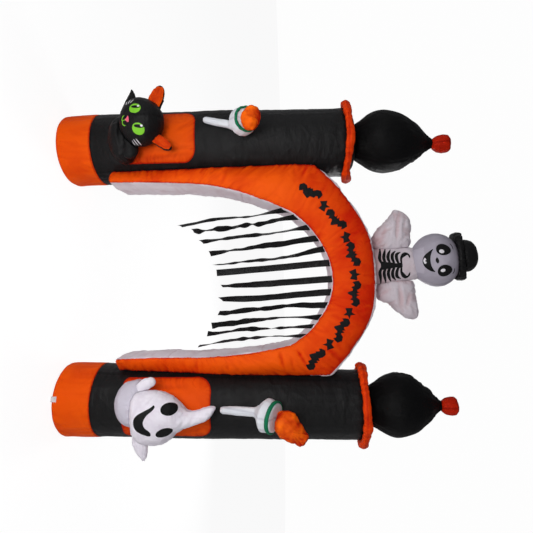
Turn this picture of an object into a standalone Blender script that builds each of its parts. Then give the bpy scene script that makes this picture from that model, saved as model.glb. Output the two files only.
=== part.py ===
"""An inflatable yard arch: two air-filled columns, the arch between them, a curtain of ribbons and three soft figures.

Everything is in metres, with +Z up. The arch's own frame has X to the right, Y to the back and its mid-plane
at Y 0; the empty named arch_frame then sets it back by FRAME_BACK, because the figures lean out in front.
"""

import math
from collections import namedtuple

import bmesh
import bpy
from mathutils import Matrix, Vector

# Driving dimensions
FRAME_BACK = 0.105
SEAM_GAP = 0.0004
CUT_GAP = 0.0006
CLOTH = 0.002
FIGURE_GAP = CLOTH + 2 * CUT_GAP
FINE_MERGE = 0.00005

COLUMN_SIDES = 32
BULB_SIDES = 20
BODY_SIDES = 16

ARCH_HALF_DEPTH = 0.18
ARCH_STEPS = 3
SOFFIT_BULGE = 0.016
OUTER_BULGE = 0.024
BACK_BULGE = 0.030
FRONT_CROWN_SHARE = 0.20
FRONT_CROWN_MOST = 0.042
FRONT_EDGE = 0.004

COLLAR_TUBE = 0.027
COLLAR_BITE = 0.004
COLLAR_SWELLS = 5
NECK_RADIUS = 0.115
# The bulb's radius as a share of its widest, at shares of its height below and above there
BULB_BELOW = ((0.28, 0.735), (0.48, 0.86), (0.72, 0.96))
BULB_ABOVE = ((0.0, 1.0), (0.25, 0.93), (0.42, 0.82), (0.56, 0.68), (0.71, 0.51), (0.86, 0.27))

STREAMER_WIDTH = 0.042
STREAMER_STEPS = 11
STREAMER_TOP_Y = -0.158
STREAMER_ROOT = 0.020

Column = namedtuple(
    "Column",
    "side foot_x top_x foot_r top_r seam_z collar_z neck_z bulb_r bulb_z bulb_top_z knob_top_z bulb_lean "
    "window_left window_right window_low_z window_top_z",
)
COLUMNS = (
    Column("left", -0.872, -0.860, 0.238, 0.222, 0.235, 1.905, 1.962, 0.207, 2.160, 2.470, 2.588, 0.026,
           -1.042, -0.712, 0.435, 0.930),
    Column("right", 0.848, 0.874, 0.241, 0.219, 0.252, 1.972, 2.019, 0.205, 2.198, 2.474, 2.574, 0.000,
           0.676, 1.042, 0.455, 1.022),
)

# Where the arch's front seams run, from the left foot over the crown to the right foot. seam_y is how far
# the outer seam stands from the mid-plane: less beside the columns, which it is sewn to.
Section = namedtuple("Section", "inner_x inner_z outer_x outer_z seam_y")
ARCH_SECTIONS = (
    Section(-0.594, 0.350, -0.674, 0.345, 0.142),
    Section(-0.585, 0.620, -0.676, 0.640, 0.142),
    Section(-0.566, 0.930, -0.680, 0.970, 0.142),
    Section(-0.528, 1.135, -0.682, 1.270, 0.142),
    Section(-0.458, 1.345, -0.683, 1.520, 0.144),
    Section(-0.364, 1.545, -0.672, 1.690, 0.148),
    Section(-0.252, 1.664, -0.510, 1.842, 0.160),
    Section(-0.104, 1.755, -0.240, 2.006, 0.170),
    Section(0.064, 1.791, 0.045, 2.048, 0.174),
    Section(0.218, 1.758, 0.290, 2.020, 0.170),
    Section(0.360, 1.664, 0.500, 1.898, 0.160),
    Section(0.466, 1.530, 0.652, 1.766, 0.142),
    Section(0.507, 1.340, 0.664, 1.560, 0.126),
    Section(0.532, 1.150, 0.664, 1.270, 0.126),
    Section(0.545, 0.960, 0.657, 1.000, 0.126),
    Section(0.546, 0.700, 0.645, 0.720, 0.122),
    Section(0.556, 0.400, 0.634, 0.396, 0.116),
)

# Each ribbon: the heights of its seam and its end, how far across it lies at four even levels from top to
# bottom, and how far it has turned out of the arch's plane at six even levels, in degrees.
Streamer = namedtuple("Streamer", "top_z end_z across twists")
STREAMERS = (
    Streamer(1.516, 0.810, (-0.387, -0.350, -0.335, -0.303), (40, 80, 85, 75, 65, 80)),
    Streamer(1.594, 0.892, (-0.341, -0.305, -0.280, -0.260), (25, 70, 60, 60, 65, 50)),
    Streamer(1.677, 0.944, (-0.273, -0.240, -0.218, -0.189), (25, 80, 80, 65, 75, 65)),
    Streamer(1.715, 1.004, (-0.200, -0.170, -0.142, -0.116), (25, 40, 30, 65, 80, 55)),
    Streamer(1.748, 1.031, (-0.131, -0.083, -0.062, -0.040), (25, 55, 75, 65, 80, 85)),
    Streamer(1.768, 1.054, (-0.041, -0.024, -0.006, 0.010), (2, 14, 4, 15, 6, 12)),
    Streamer(1.788, 1.081, (0.060, 0.074, 0.088, 0.096), (3, 6, 17, 17, 24, 65)),
    Streamer(1.782, 1.064, (0.142, 0.158, 0.176, 0.180), (4, 17, 21, 25, 20, 60)),
    Streamer(1.774, 1.057, (0.224, 0.225, 0.246, 0.269), (20, 35, 55, 50, 40, 65)),
    Streamer(1.724, 1.017, (0.299, 0.299, 0.319, 0.346), (25, 70, 70, 45, 35, 40)),
    Streamer(1.672, 0.983, (0.354, 0.364, 0.373, 0.400), (45, 65, 70, 50, 70, 55)),
    Streamer(1.597, 0.925, (0.414, 0.419, 0.439, 0.474), (50, 75, 70, 60, 65, 80)),
)

ORANGE = (0.86, 0.13, 0.01)
BLACK = (0.012, 0.012, 0.013)
WHITE = (0.74, 0.68, 0.76)
EMBER = (0.72, 0.06, 0.01)
GREEN = (0.01, 0.22, 0.10)
FLAME = (0.90, 0.16, 0.01)


# Scene and helpers
def clear_scene():
    for obj in list(bpy.data.objects):
        bpy.data.objects.remove(obj)


def new_collection(name):
    collection = bpy.data.collections.new(name)
    bpy.context.scene.collection.children.link(collection)
    return collection


def cloth_material(name, colour, roughness=0.55):
    made = bpy.data.materials.new(name)
    made.use_nodes = True
    shader = made.node_tree.nodes["Principled BSDF"]
    shader.inputs["Base Color"].default_value = (*colour, 1)
    shader.inputs["Roughness"].default_value = roughness
    made.diffuse_color = (*colour, 1)
    return made


clear_scene()
PARTS = new_collection("inflatable_arch")
CUTTERS = new_collection("cutters")
UNCUT = {}
FRAME = bpy.data.objects.new("arch_frame", None)
FRAME.location = (0, FRAME_BACK, 0)
PARTS.objects.link(FRAME)
CLOTHS = {
    "orange_cloth": cloth_material("orange_cloth", ORANGE),
    "black_cloth": cloth_material("black_cloth", BLACK),
    "white_cloth": cloth_material("white_cloth", WHITE),
    "ember_cloth": cloth_material("ember_cloth", EMBER),
    "green_cloth": cloth_material("green_cloth", GREEN),
    "flame_cloth": cloth_material("flame_cloth", FLAME),
    "webbing": cloth_material("webbing", WHITE, 0.7),
}


def piece_of(name, mesh, cloth):
    """A named piece in the arch's frame."""
    obj = bpy.data.objects.new(name, mesh)
    PARTS.objects.link(obj)
    obj.parent = FRAME
    return reshaped(obj, mesh, cloth)


def reshaped(obj, mesh, cloth):
    """Gives the piece this mesh, and keeps a copy of it as the piece's uncut form."""
    obj.data = mesh
    mesh.materials.clear()
    mesh.materials.append(CLOTHS[cloth])
    UNCUT[obj.name] = mesh.copy()
    return obj


def baked(obj):
    """The object's mesh with its modifiers applied, in its own coordinates."""
    bpy.context.view_layer.update()
    graph = bpy.context.evaluated_depsgraph_get()
    mesh = bpy.data.meshes.new_from_object(obj.evaluated_get(graph))
    obj.modifiers.clear()
    obj.data = mesh
    return obj


def baked_curve(obj):
    """The mesh of a curve object, which is then removed."""
    bpy.context.view_layer.update()
    graph = bpy.context.evaluated_depsgraph_get()
    mesh = bpy.data.meshes.new_from_object(obj.evaluated_get(graph))
    bpy.data.objects.remove(obj)
    return mesh


def facing_out(bm):
    bmesh.ops.remove_doubles(bm, verts=bm.verts, dist=FINE_MERGE)
    bmesh.ops.recalc_face_normals(bm, faces=bm.faces)
    return bm


def as_mesh(name, bm):
    """The mesh in triangles, so that a piece and the cutter grown from it bend along the same lines."""
    mesh = bpy.data.meshes.new(name)
    bmesh.ops.triangulate(facing_out(bm), faces=bm.faces, quad_method="SHORT_EDGE")
    bm.to_mesh(mesh)
    bm.free()
    mesh.shade_smooth()
    mesh.set_sharp_from_angle(angle=math.radians(40))
    return mesh


def loft(name, rings, cloth):
    """Skins rings of equal count, each a list of points round one section, and closes both ends."""
    bm = bmesh.new()
    made = [[bm.verts.new(point) for point in ring] for ring in rings]
    count = len(made[0])
    for low, high in zip(made, made[1:]):
        for i in range(count):
            j = (i + 1) % count
            bm.faces.new((low[i], low[j], high[j], high[i]))
    bm.faces.new(made[0][::-1])
    bm.faces.new(made[-1])
    return piece_of(name, as_mesh(name, bm), cloth)


def turned(name, profile, sides, cloth, reshape):
    """A turned shape: a profile of (radius, z), top first, spun about Z by a Screw; reshape(point) then moves it."""
    mesh = bpy.data.meshes.new(name)
    points = [(0.0, 0.0, profile[0][1])]
    points += [(radius, 0.0, z) for radius, z in profile]
    points.append((0.0, 0.0, profile[-1][1]))
    edges = [(i, i + 1) for i in range(len(points) - 1)]
    mesh.from_pydata(points, edges, [])
    obj = piece_of(name, mesh, cloth)
    screw = obj.modifiers.new("turn", "SCREW")
    screw.steps = screw.render_steps = sides
    screw.use_merge_vertices = True
    screw.merge_threshold = FINE_MERGE
    baked(obj)
    bm = bmesh.new()
    bm.from_mesh(obj.data)
    for vert in bm.verts:
        vert.co = reshape(vert.co)
    return reshaped(obj, as_mesh(name, bm), cloth)


def ball(name, centre, radii, cloth, around=BODY_SIDES, rows=10, tilt_deg=0.0, shape=None):
    """An air-filled ball of three radii, tilted about Y; shape(unit point) may pull it out of round first."""
    bm = bmesh.new()
    bmesh.ops.create_uvsphere(bm, u_segments=around, v_segments=rows, radius=1.0)
    turn = Matrix.Rotation(math.radians(tilt_deg), 3, "Y")
    for vert in bm.verts:
        unit = shape(vert.co.copy()) if shape else vert.co
        sized = Vector((unit.x * radii[0], unit.y * radii[1], unit.z * radii[2]))
        vert.co = turn @ sized + Vector(centre)
    return piece_of(name, as_mesh(name, bm), cloth)


def limb(name, path, widths, depths, cloth, sides=10):
    """A padded limb: oval sections across a path of points, each with its own half width and half depth."""
    path = [Vector(point) for point in path]
    rings = []
    for i, point in enumerate(path):
        along = (path[min(i + 1, len(path) - 1)] - path[max(i - 1, 0)]).normalized()
        across = Vector((0, 1, 0)).cross(along)
        if across.length < 0.2:
            across = Vector((1, 0, 0))
        across.normalize()
        deep = along.cross(across)
        ring = []
        for k in range(sides):
            angle = 2 * math.pi * k / sides
            ring.append(point + across * widths[i] * math.cos(angle) + deep * depths[i] * math.sin(angle))
        rings.append(ring)
    return loft(name, rings, cloth)


def pad(name, sections, y, cloth, sides=10):
    """A pillow seen from the front: at each (x, top z, low z, half depth) it has one upright oval section."""
    rings = []
    for x, top, low, deep in sections:
        middle, half = (top + low) / 2, (top - low) / 2
        angles = [2 * math.pi * k / sides for k in range(sides)]
        rings.append([Vector((x, y + deep * math.sin(a), middle + half * math.cos(a))) for a in angles])
    return loft(name, rings, cloth)


def grown(obj, gap=CUT_GAP):
    """A copy of a piece's full, uncut form, larger by the sewing gap all round, to cut its neighbour with."""
    bm = bmesh.new()
    bm.from_mesh(UNCUT[obj.name])
    bm.normal_update()
    moves = [vert.normal * gap * min(vert.calc_shell_factor(), 2.0) for vert in bm.verts]
    for vert, move in zip(bm.verts, moves):
        vert.co += move
    mesh = bpy.data.meshes.new(obj.name + "_cutter")
    bm.to_mesh(mesh)
    bm.free()
    return bpy.data.objects.new(obj.name + "_cutter", mesh)


def cut_with(piece, cutter, operation):
    CUTTERS.objects.link(cutter)
    cutter.parent = FRAME
    cutter.hide_render = True
    cutter.display_type = "WIRE"
    cut = piece.modifiers.new("cut", "BOOLEAN")
    cut.operation = operation
    cut.solver = "EXACT"
    cut.object = cutter
    baked(piece)
    bpy.data.objects.remove(cutter)


def seat(piece, *neighbours, gap=CUT_GAP):
    """Cuts the piece back to where each neighbour's skin is, with the sewing gap between them."""
    for neighbour in neighbours:
        cut_with(piece, grown(neighbour, gap), "DIFFERENCE")
    return piece


def smooth_through(rows, steps):
    """Points on a Catmull-Rom curve through the rows, with each field taken on its own."""
    made = []
    for i in range(len(rows) - 1):
        before, start = rows[max(i - 1, 0)], rows[i]
        end, after = rows[i + 1], rows[min(i + 2, len(rows) - 1)]
        for k in range(steps):
            t = k / steps
            made.append([
                0.5 * (2 * b + (c - a) * t + (2 * a - 5 * b + 4 * c - d) * t**2 + (3 * b - a - 3 * c + d) * t**3)
                for a, b, c, d in zip(before, start, end, after)
            ])
    made.append(list(rows[-1]))
    return made


def read_along(values, share):
    """The value at a share from 0 to 1 of the way along a smooth curve through evenly spaced values."""
    fine = smooth_through([(value,) for value in values], 12)
    return fine[round(share * (len(fine) - 1))][0]


# Columns
def column_axis_x(column, z):
    """The column leans a little: its axis runs from foot_x on the floor to top_x at the collar."""
    return column.foot_x + (column.top_x - column.foot_x) * z / column.collar_z


def on_axis(column):
    """Moves a point of a shape turned about Z so that the shape follows the column's axis."""
    return lambda point: point + Vector((column_axis_x(column, point.z), 0, 0))


def column_radius(column, z):
    share = (z - column.seam_z) / (column.collar_z - column.seam_z)
    return column.foot_r + (column.top_r - column.foot_r) * max(share, 0)


def make_base(column):
    """The orange foot band, with a flat sole and a soft edge."""
    r, top = column.foot_r, column.seam_z - SEAM_GAP
    profile = [(r, top), (r + 0.003, top * 0.62), (r + 0.001, top * 0.20), (r - 0.003, 0.010), (r - 0.012, 0.0)]
    return turned(f"base_{column.side}", profile, COLUMN_SIDES, "orange_cloth", on_axis(column))


def make_shaft(column):
    """The black tube above the foot band, closed in to the neck that the bulb is sewn to."""
    z0, z1, neck = column.seam_z, column.collar_z, column.neck_z
    rise = neck - z1
    profile = [
        (NECK_RADIUS, neck),
        (column.top_r * 0.74, neck - 0.22 * rise),
        (column.top_r * 0.93, z1 + 0.28 * rise),
        (column.top_r, z1 - 0.02),
    ]
    profile += [(column_radius(column, z0 + (z1 - z0) * s), z0 + (z1 - z0) * s) for s in (0.75, 0.5, 0.25)]
    profile.append((column.foot_r, z0))
    return turned(f"shaft_{column.side}", profile, COLUMN_SIDES, "black_cloth", on_axis(column))


def make_bulb(column):
    """The onion-shaped bulb, round below and drawn to a point where the knob is tied."""
    low, wide, top = column.neck_z + SEAM_GAP, column.bulb_z, column.bulb_top_z
    r = column.bulb_r
    below = [(NECK_RADIUS, low)] + [(r * wideness, low + (wide - low) * up) for up, wideness in BULB_BELOW]
    above = [(r * wideness, wide + (top - wide) * up) for up, wideness in BULB_ABOVE]
    profile = (below + above + [(0.030, top - 0.012), (0.028, top)])[::-1]

    def lean(point):
        share = max((point.z - low) / (top - low), 0)
        return point + Vector((column_axis_x(column, low) + column.bulb_lean * share**2, 0, 0))

    return turned(f"bulb_{column.side}", profile, BULB_SIDES, "black_cloth", lean)


def make_knob(column):
    """The small ember-coloured knob on the bulb's point."""
    low, top = column.bulb_top_z + SEAM_GAP, column.knob_top_z
    high = top - low
    profile = [(0.040, top), (0.058, top - 0.14 * high), (0.061, low + 0.62 * high),
               (0.055, low + 0.30 * high), (0.037, low + 0.06 * high), (0.027, low)]
    at = Vector((column_axis_x(column, low) + column.bulb_lean, 0, 0))
    return turned(f"knob_{column.side}", profile, 12, "ember_cloth", lambda point: point + at)


def make_collar(column, shaft):
    """The stuffed ring below the bulb: a torus that waves a little and swells where it was gathered."""
    major = column.top_r + COLLAR_TUBE - COLLAR_BITE
    centre = Vector((column_axis_x(column, column.collar_z), 0, column.collar_z))
    bpy.ops.mesh.primitive_torus_add(
        major_segments=24, minor_segments=6, major_radius=major, minor_radius=COLLAR_TUBE
    )
    ring = bpy.context.object
    bm = bmesh.new()
    bm.from_mesh(ring.data)
    bpy.data.objects.remove(ring)
    for vert in bm.verts:
        a = math.atan2(vert.co.x, -vert.co.y)
        middle = Vector((math.sin(a), -math.cos(a), 0)) * major
        drop = 0.006 * math.sin(3 * a + 1.1) + 0.004 * math.sin(COLLAR_SWELLS * a)
        swell = 1 + 0.10 * math.sin(COLLAR_SWELLS * a + 0.6)
        vert.co = centre + middle + (vert.co - middle) * swell + Vector((0, 0, drop))
    name = f"collar_{column.side}"
    return seat(piece_of(name, as_mesh(name, bm), "ember_cloth"), shaft)


def make_window(column, shaft):
    """The orange panel sewn on the front of the shaft: a sheet of the shaft's own curve, rounded at its corners."""
    corners = (
        (column.window_left, column.window_low_z, 0.030, 180), (column.window_right, column.window_low_z, 0.030, 270),
        (column.window_right, column.window_top_z, 0.085, 0), (column.window_left, column.window_top_z, 0.085, 90),
    )
    flat = bpy.data.curves.new("outline", "CURVE")
    flat.dimensions = "2D"
    flat.fill_mode = "BOTH"
    flat.extrude = column.foot_r
    spline = flat.splines.new("POLY")
    spline.use_cyclic_u = True
    steps = 5
    spline.points.add(len(corners) * (steps + 1) - 1)
    for i, (x, z, radius, start) in enumerate(corners):
        centre_x = x + radius * (1 if start in (90, 180) else -1)
        centre_z = z + radius * (1 if start >= 180 else -1)
        for k in range(steps + 1):
            a = math.radians(start + 90 * k / steps)
            at = (centre_x + radius * math.cos(a), centre_z + radius * math.sin(a), 0, 1)
            spline.points[i * (steps + 1) + k].co = at
    outline = bpy.data.objects.new("outline", flat)
    CUTTERS.objects.link(outline)
    upright = Matrix.Translation((0, -column.foot_r - 0.05, 0)) @ Matrix.Rotation(math.radians(90), 4, "X")
    bm = bmesh.new()
    bm.from_mesh(baked_curve(outline))
    bm.transform(upright)
    name = f"window_{column.side}"
    panel = piece_of(name, as_mesh(name, bm), "orange_cloth")
    cut_with(panel, grown(shaft, CUT_GAP + CLOTH), "INTERSECT")
    return seat(panel, shaft)


# Arch
def arch_stations():
    """(inner point, outward direction, width, outer seam's y) at each station along the arch."""
    stations = []
    for inner_x, inner_z, outer_x, outer_z, seam_y in smooth_through(ARCH_SECTIONS, ARCH_STEPS):
        inner = Vector((inner_x, 0, inner_z))
        across = Vector((outer_x, 0, outer_z)) - inner
        stations.append((inner, across.normalized(), across.length, seam_y))
    return stations


def make_arch_body():
    """The white sides and back of the arch: soffit, outer side and back panel round one air chamber."""
    rings = []
    for inner, out, width, seam_y in arch_stations():
        deep = ARCH_HALF_DEPTH
        section = (
            (0, -deep), (-0.8 * SOFFIT_BULGE, -deep / 2), (-SOFFIT_BULGE, 0), (-0.8 * SOFFIT_BULGE, deep / 2),
            (0, deep), (width / 2, (deep + seam_y) / 2 + BACK_BULGE * min(width / 0.2, 1)), (width, seam_y),
            (width + OUTER_BULGE, 0), (width, -seam_y),
        )
        rings.append([inner + out * s + Vector((0, y, 0)) for s, y in section])
    return loft("arch_body", rings, "white_cloth")


def make_arch_front():
    """The orange front panel, bowed out by the air between its two seams."""
    rings = []
    for inner, out, width, seam_y in arch_stations():
        crown = min(FRONT_CROWN_SHARE * width, FRONT_CROWN_MOST)
        section = []
        for share, bow in ((0, 0), (0, FRONT_EDGE), (0.2, 0.66 * crown), (0.5, crown), (0.8, 0.66 * crown),
                           (1, FRONT_EDGE), (1, 0)):
            line_y = -(ARCH_HALF_DEPTH + (seam_y - ARCH_HALF_DEPTH) * share)
            section.append((width * share, line_y - SEAM_GAP - bow))
        rings.append([inner + out * s + Vector((0, y, 0)) for s, y in section])
    return loft("arch_front", rings, "orange_cloth")


SOFFIT_ROWS = smooth_through(ARCH_SECTIONS, ARCH_STEPS)


def soffit_z(x):
    """Height of the front seam's inner edge at x, read from the arch's stations."""
    for (x0, z0, *_), (x1, z1, *_) in zip(SOFFIT_ROWS, SOFFIT_ROWS[1:]):
        if x0 <= x <= x1:
            return z0 + (z1 - z0) * (x - x0) / (x1 - x0)
    return SOFFIT_ROWS[0][1]


def make_streamer(number, row, arch_body):
    """One ribbon of the curtain: cut off along the soffit it is sewn to, and turning on itself as it hangs."""
    rings = []
    for i in range(STREAMER_STEPS + 1):
        share = i / STREAMER_STEPS
        x = read_along(row.across, share)
        turn = math.radians(read_along(row.twists, share))
        y = STREAMER_TOP_Y + 0.010 * math.sin(1.7 * math.pi * share + 2 * number) * share
        wide = Vector((math.cos(turn), math.sin(turn), 0)) * STREAMER_WIDTH / 2
        thin = Vector((-math.sin(turn), math.cos(turn), 0)) * CLOTH / 2
        at = Vector((x, y, row.top_z + (row.end_z - row.top_z) * share))
        ring = [at - wide - thin, at + wide - thin, at + wide + thin, at - wide + thin]
        if i == 0:
            for point in ring:
                point.z = soffit_z(point.x) + STREAMER_ROOT
        rings.append(ring)
    return seat(loft(f"streamer_{number:02d}", rings, "black_cloth"), arch_body)


# Torches on the columns
Torch = namedtuple("Torch", "side foot neck cup_back mouth handle_r cup_r")
TORCHES = (
    Torch("left", (-0.974, -0.212, 0.985), (-0.916, -0.256, 1.165), (-0.906, -0.288, 1.222),
          (-0.898, -0.385, 1.284), 0.024, 0.082),
    Torch("right", (0.846, -0.264, 1.092), (0.856, -0.268, 1.300), (0.860, -0.278, 1.336),
          (0.876, -0.322, 1.432), 0.026, 0.092),
)
# Each flame is a stuffed bag along a short line: its points, then how wide and how deep it is there.
Flame = namedtuple("Flame", "side path widths depths")
FLAMES = (
    Flame("left", ((-0.955, -0.418, 1.318), (-0.940, -0.420, 1.320), (-0.910, -0.422, 1.318), (-0.880, -0.424, 1.312),
                   (-0.850, -0.422, 1.304), (-0.826, -0.418, 1.298), (-0.814, -0.414, 1.295)),
          (0.020, 0.045, 0.058, 0.060, 0.054, 0.038, 0.016), (0.016, 0.038, 0.050, 0.053, 0.048, 0.034, 0.014)),
    Flame("right", ((0.846, -0.330, 1.450), (0.862, -0.331, 1.462), (0.892, -0.333, 1.482), (0.928, -0.334, 1.510),
                    (0.958, -0.333, 1.540), (0.980, -0.332, 1.570), (1.000, -0.331, 1.596), (1.008, -0.330, 1.606)),
          (0.030, 0.060, 0.077, 0.078, 0.066, 0.048, 0.046, 0.020),
          (0.026, 0.050, 0.064, 0.066, 0.056, 0.042, 0.038, 0.018)),
)


def make_torch(torch, flame, shaft):
    """A white holder on the column: a handle that opens into a cup with a green band, and a crumpled flame."""
    foot, neck, back, mouth = (Vector(p) for p in (torch.foot, torch.neck, torch.cup_back, torch.mouth))
    handle, cup = neck - foot, mouth - back
    path = [foot, foot + handle * 0.08, foot + handle * 0.5, neck, back, back + cup * 0.35, back + cup * 0.70, mouth]
    radii = [0.60 * torch.handle_r, torch.handle_r * 0.92, torch.handle_r, torch.handle_r * 1.10,
             torch.cup_r * 0.62, torch.cup_r * 0.92, torch.cup_r, torch.cup_r * 0.93]
    holder = limb(f"torch_{torch.side}_holder", path, radii, radii, "white_cloth", sides=14)
    seat(holder, shaft)
    band_path = [back + cup * share for share in (0.72, 0.80, 0.90, 0.96)]
    band_radii = [torch.cup_r * 1.000, torch.cup_r * 1.035, torch.cup_r * 1.015, torch.cup_r * 0.95]
    band = limb(f"torch_{torch.side}_band", band_path, band_radii, band_radii, "green_cloth", sides=14)
    seat(band, holder, shaft)
    bag = limb(f"torch_{torch.side}_flame", flame.path, flame.widths, flame.depths, "flame_cloth", sides=10)
    seat(bag, holder, band, shaft)


# The cat at the left window
def make_ear(name, root, tip, half_width, half_depth):
    """An upright pad that comes to a round tip: the black back, and an orange lining on its front."""
    root, tip = Vector(root), Vector(tip)
    shares = (0.0, 0.25, 0.5, 0.75, 0.92, 1.0)
    fullness = (0.90, 1.00, 1.00, 0.86, 0.58, 0.26)
    path = [root + (tip - root) * share for share in shares]
    back = limb(name, path, [half_width * f for f in fullness], [half_depth * f for f in fullness],
                "black_cloth", sides=8)
    forward = Vector((0, -0.72 * half_depth, 0))
    lining_path = [root + (tip - root) * share + forward for share in (0.0, 0.25, 0.5, 0.75, 0.90)]
    lining_widths = [half_width * f * 0.80 for f in (0.90, 1.00, 1.00, 0.84, 0.46)]
    lining_depths = [half_depth * f * 0.62 for f in (0.90, 1.00, 1.00, 0.84, 0.46)]
    lining = limb(name + "_lining", lining_path, lining_widths, lining_depths, "orange_cloth", sides=8)
    seat(lining, back)
    return back, lining


def make_cat(shaft, base):
    def cheeks(unit):
        wide = 1 + 0.07 * math.exp(-((unit.z + 0.25) / 0.35) ** 2)
        return Vector((unit.x * wide, unit.y, unit.z))

    head = ball("cat_head", (-0.918, -0.352, 0.630), (0.147, 0.124, 0.138), "black_cloth", shape=cheeks)
    body = ball("cat_body", (-0.842, -0.262, 0.484), (0.156, 0.128, 0.096), "black_cloth", 14, 8)
    seat(body, shaft, base, gap=FIGURE_GAP)
    seat(body, head)
    seat(head, shaft, gap=FIGURE_GAP)
    ears = (
        ("left", (-1.000, -0.330, 0.690), (-1.146, -0.336, 0.748), 0.047),
        ("right", (-0.832, -0.336, 0.700), (-0.746, -0.340, 0.812), 0.037),
    )
    for side, root, tip, half_width in ears:
        back, lining = make_ear(f"cat_ear_{side}", root, tip, half_width, 0.024)
        seat(back, head)
        seat(lining, head)
    left = pad("cat_paw_left", ((-0.950, 0.590, 0.470, 0.046), (-1.020, 0.590, 0.490, 0.040),
                                (-1.080, 0.583, 0.520, 0.030), (-1.120, 0.570, 0.538, 0.017),
                                (-1.147, 0.557, 0.547, 0.006)), -0.320, "black_cloth")
    right = pad("cat_paw_right", ((-0.850, 0.585, 0.480, 0.044), (-0.790, 0.600, 0.490, 0.044),
                                  (-0.745, 0.602, 0.496, 0.040), (-0.715, 0.586, 0.508, 0.030),
                                  (-0.701, 0.560, 0.528, 0.014)), -0.330, "black_cloth")
    for paw in (left, right):
        seat(paw, shaft, gap=FIGURE_GAP)
        seat(paw, body, head)


# The ghost at the right window
def make_ghost(shaft, base):
    Level = namedtuple("Level", "z x y wide deep")
    levels = (
        Level(0.578, 0.874, -0.380, 0.080, 0.060), Level(0.590, 0.874, -0.376, 0.118, 0.090),
        Level(0.618, 0.870, -0.370, 0.148, 0.110), Level(0.660, 0.868, -0.362, 0.160, 0.120),
        Level(0.720, 0.870, -0.356, 0.161, 0.124), Level(0.770, 0.870, -0.350, 0.153, 0.118),
        Level(0.820, 0.868, -0.346, 0.127, 0.102), Level(0.860, 0.871, -0.344, 0.090, 0.080),
        Level(0.890, 0.876, -0.344, 0.063, 0.060), Level(0.935, 0.876, -0.344, 0.048, 0.046),
        Level(0.990, 0.860, -0.346, 0.041, 0.038), Level(1.030, 0.841, -0.348, 0.034, 0.032),
        Level(1.060, 0.820, -0.350, 0.024, 0.022), Level(1.082, 0.808, -0.350, 0.008, 0.008),
    )
    head = limb("ghost_head", [(lv.x, lv.y, lv.z) for lv in levels], [lv.wide for lv in levels],
                [lv.deep for lv in levels], "white_cloth", sides=BODY_SIDES)
    def cup(unit):
        """Keeps the body's sides upright to the head's seam."""
        wide = 1 + 0.45 * max(unit.z, 0)
        return Vector((unit.x * wide, unit.y * wide, unit.z))

    body = ball("ghost_body", (0.808, -0.285, 0.552), (0.142, 0.126, 0.102), "white_cloth", 14, 8, shape=cup)
    seat(body, shaft, base, gap=FIGURE_GAP)
    seat(body, head)
    seat(head, shaft, gap=FIGURE_GAP)
    left = limb("ghost_arm_left", [(0.745, -0.330, 0.612), (0.700, -0.345, 0.632), (0.672, -0.352, 0.666),
                                   (0.660, -0.354, 0.700), (0.656, -0.354, 0.720)],
                [0.040, 0.038, 0.035, 0.029, 0.014], [0.034, 0.032, 0.030, 0.026, 0.014], "white_cloth")
    right = limb("ghost_arm_right", [(0.960, -0.322, 0.615), (1.030, -0.328, 0.616), (1.080, -0.330, 0.632),
                                     (1.114, -0.330, 0.641), (1.132, -0.330, 0.640)],
                 [0.052, 0.050, 0.036, 0.022, 0.008], [0.036, 0.034, 0.028, 0.018, 0.008], "white_cloth")
    for arm in (left, right):
        seat(arm, shaft, gap=FIGURE_GAP)
        seat(arm, body, head)


# The skeleton on the crown
def make_skeleton(arch_body, arch_front):
    def chin(unit):
        narrow = 1 - 0.16 * max(-unit.z, 0) ** 1.5
        return Vector((unit.x * narrow, unit.y * narrow, unit.z))

    head = ball("skeleton_head", (-0.056, -0.020, 2.462), (0.178, 0.158, 0.156), "white_cloth", 18, 12, -6, chin)
    levels = ((2.020, -0.018, 0.114, 0.098), (2.080, -0.020, 0.121, 0.102), (2.150, -0.024, 0.124, 0.102),
              (2.220, -0.030, 0.121, 0.098), (2.280, -0.035, 0.114, 0.092), (2.330, -0.038, 0.106, 0.086),
              (2.380, -0.040, 0.092, 0.076))
    torso = limb("skeleton_torso", [(x, 0.0, z) for z, x, _, _ in levels], [w for _, _, w, _ in levels],
                 [d for _, _, _, d in levels], "white_cloth", sides=14)
    seat(torso, arch_body, arch_front, head)
    arms = (
        ("left", ((-0.100, 2.300, 2.075, 0.045), (-0.150, 2.314, 2.052, 0.060), (-0.203, 2.319, 2.052, 0.068),
                  (-0.264, 2.323, 2.092, 0.066), (-0.306, 2.324, 2.134, 0.058), (-0.342, 2.312, 2.168, 0.048),
                  (-0.370, 2.282, 2.190, 0.034), (-0.386, 2.252, 2.206, 0.018), (-0.391, 2.238, 2.218, 0.006))),
        ("right", ((0.020, 2.310, 2.100, 0.045), (0.080, 2.334, 2.074, 0.060), (0.140, 2.342, 2.066, 0.068),
                   (0.196, 2.349, 2.082, 0.066), (0.226, 2.352, 2.148, 0.060), (0.262, 2.354, 2.194, 0.052),
                   (0.292, 2.352, 2.234, 0.040), (0.314, 2.338, 2.266, 0.024), (0.325, 2.318, 2.290, 0.008))),
    )
    for side, sections in arms:
        seat(pad(f"skeleton_arm_{side}", sections, 0.0, "white_cloth"), torso, arch_body, head)
    make_hat(head)


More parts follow.
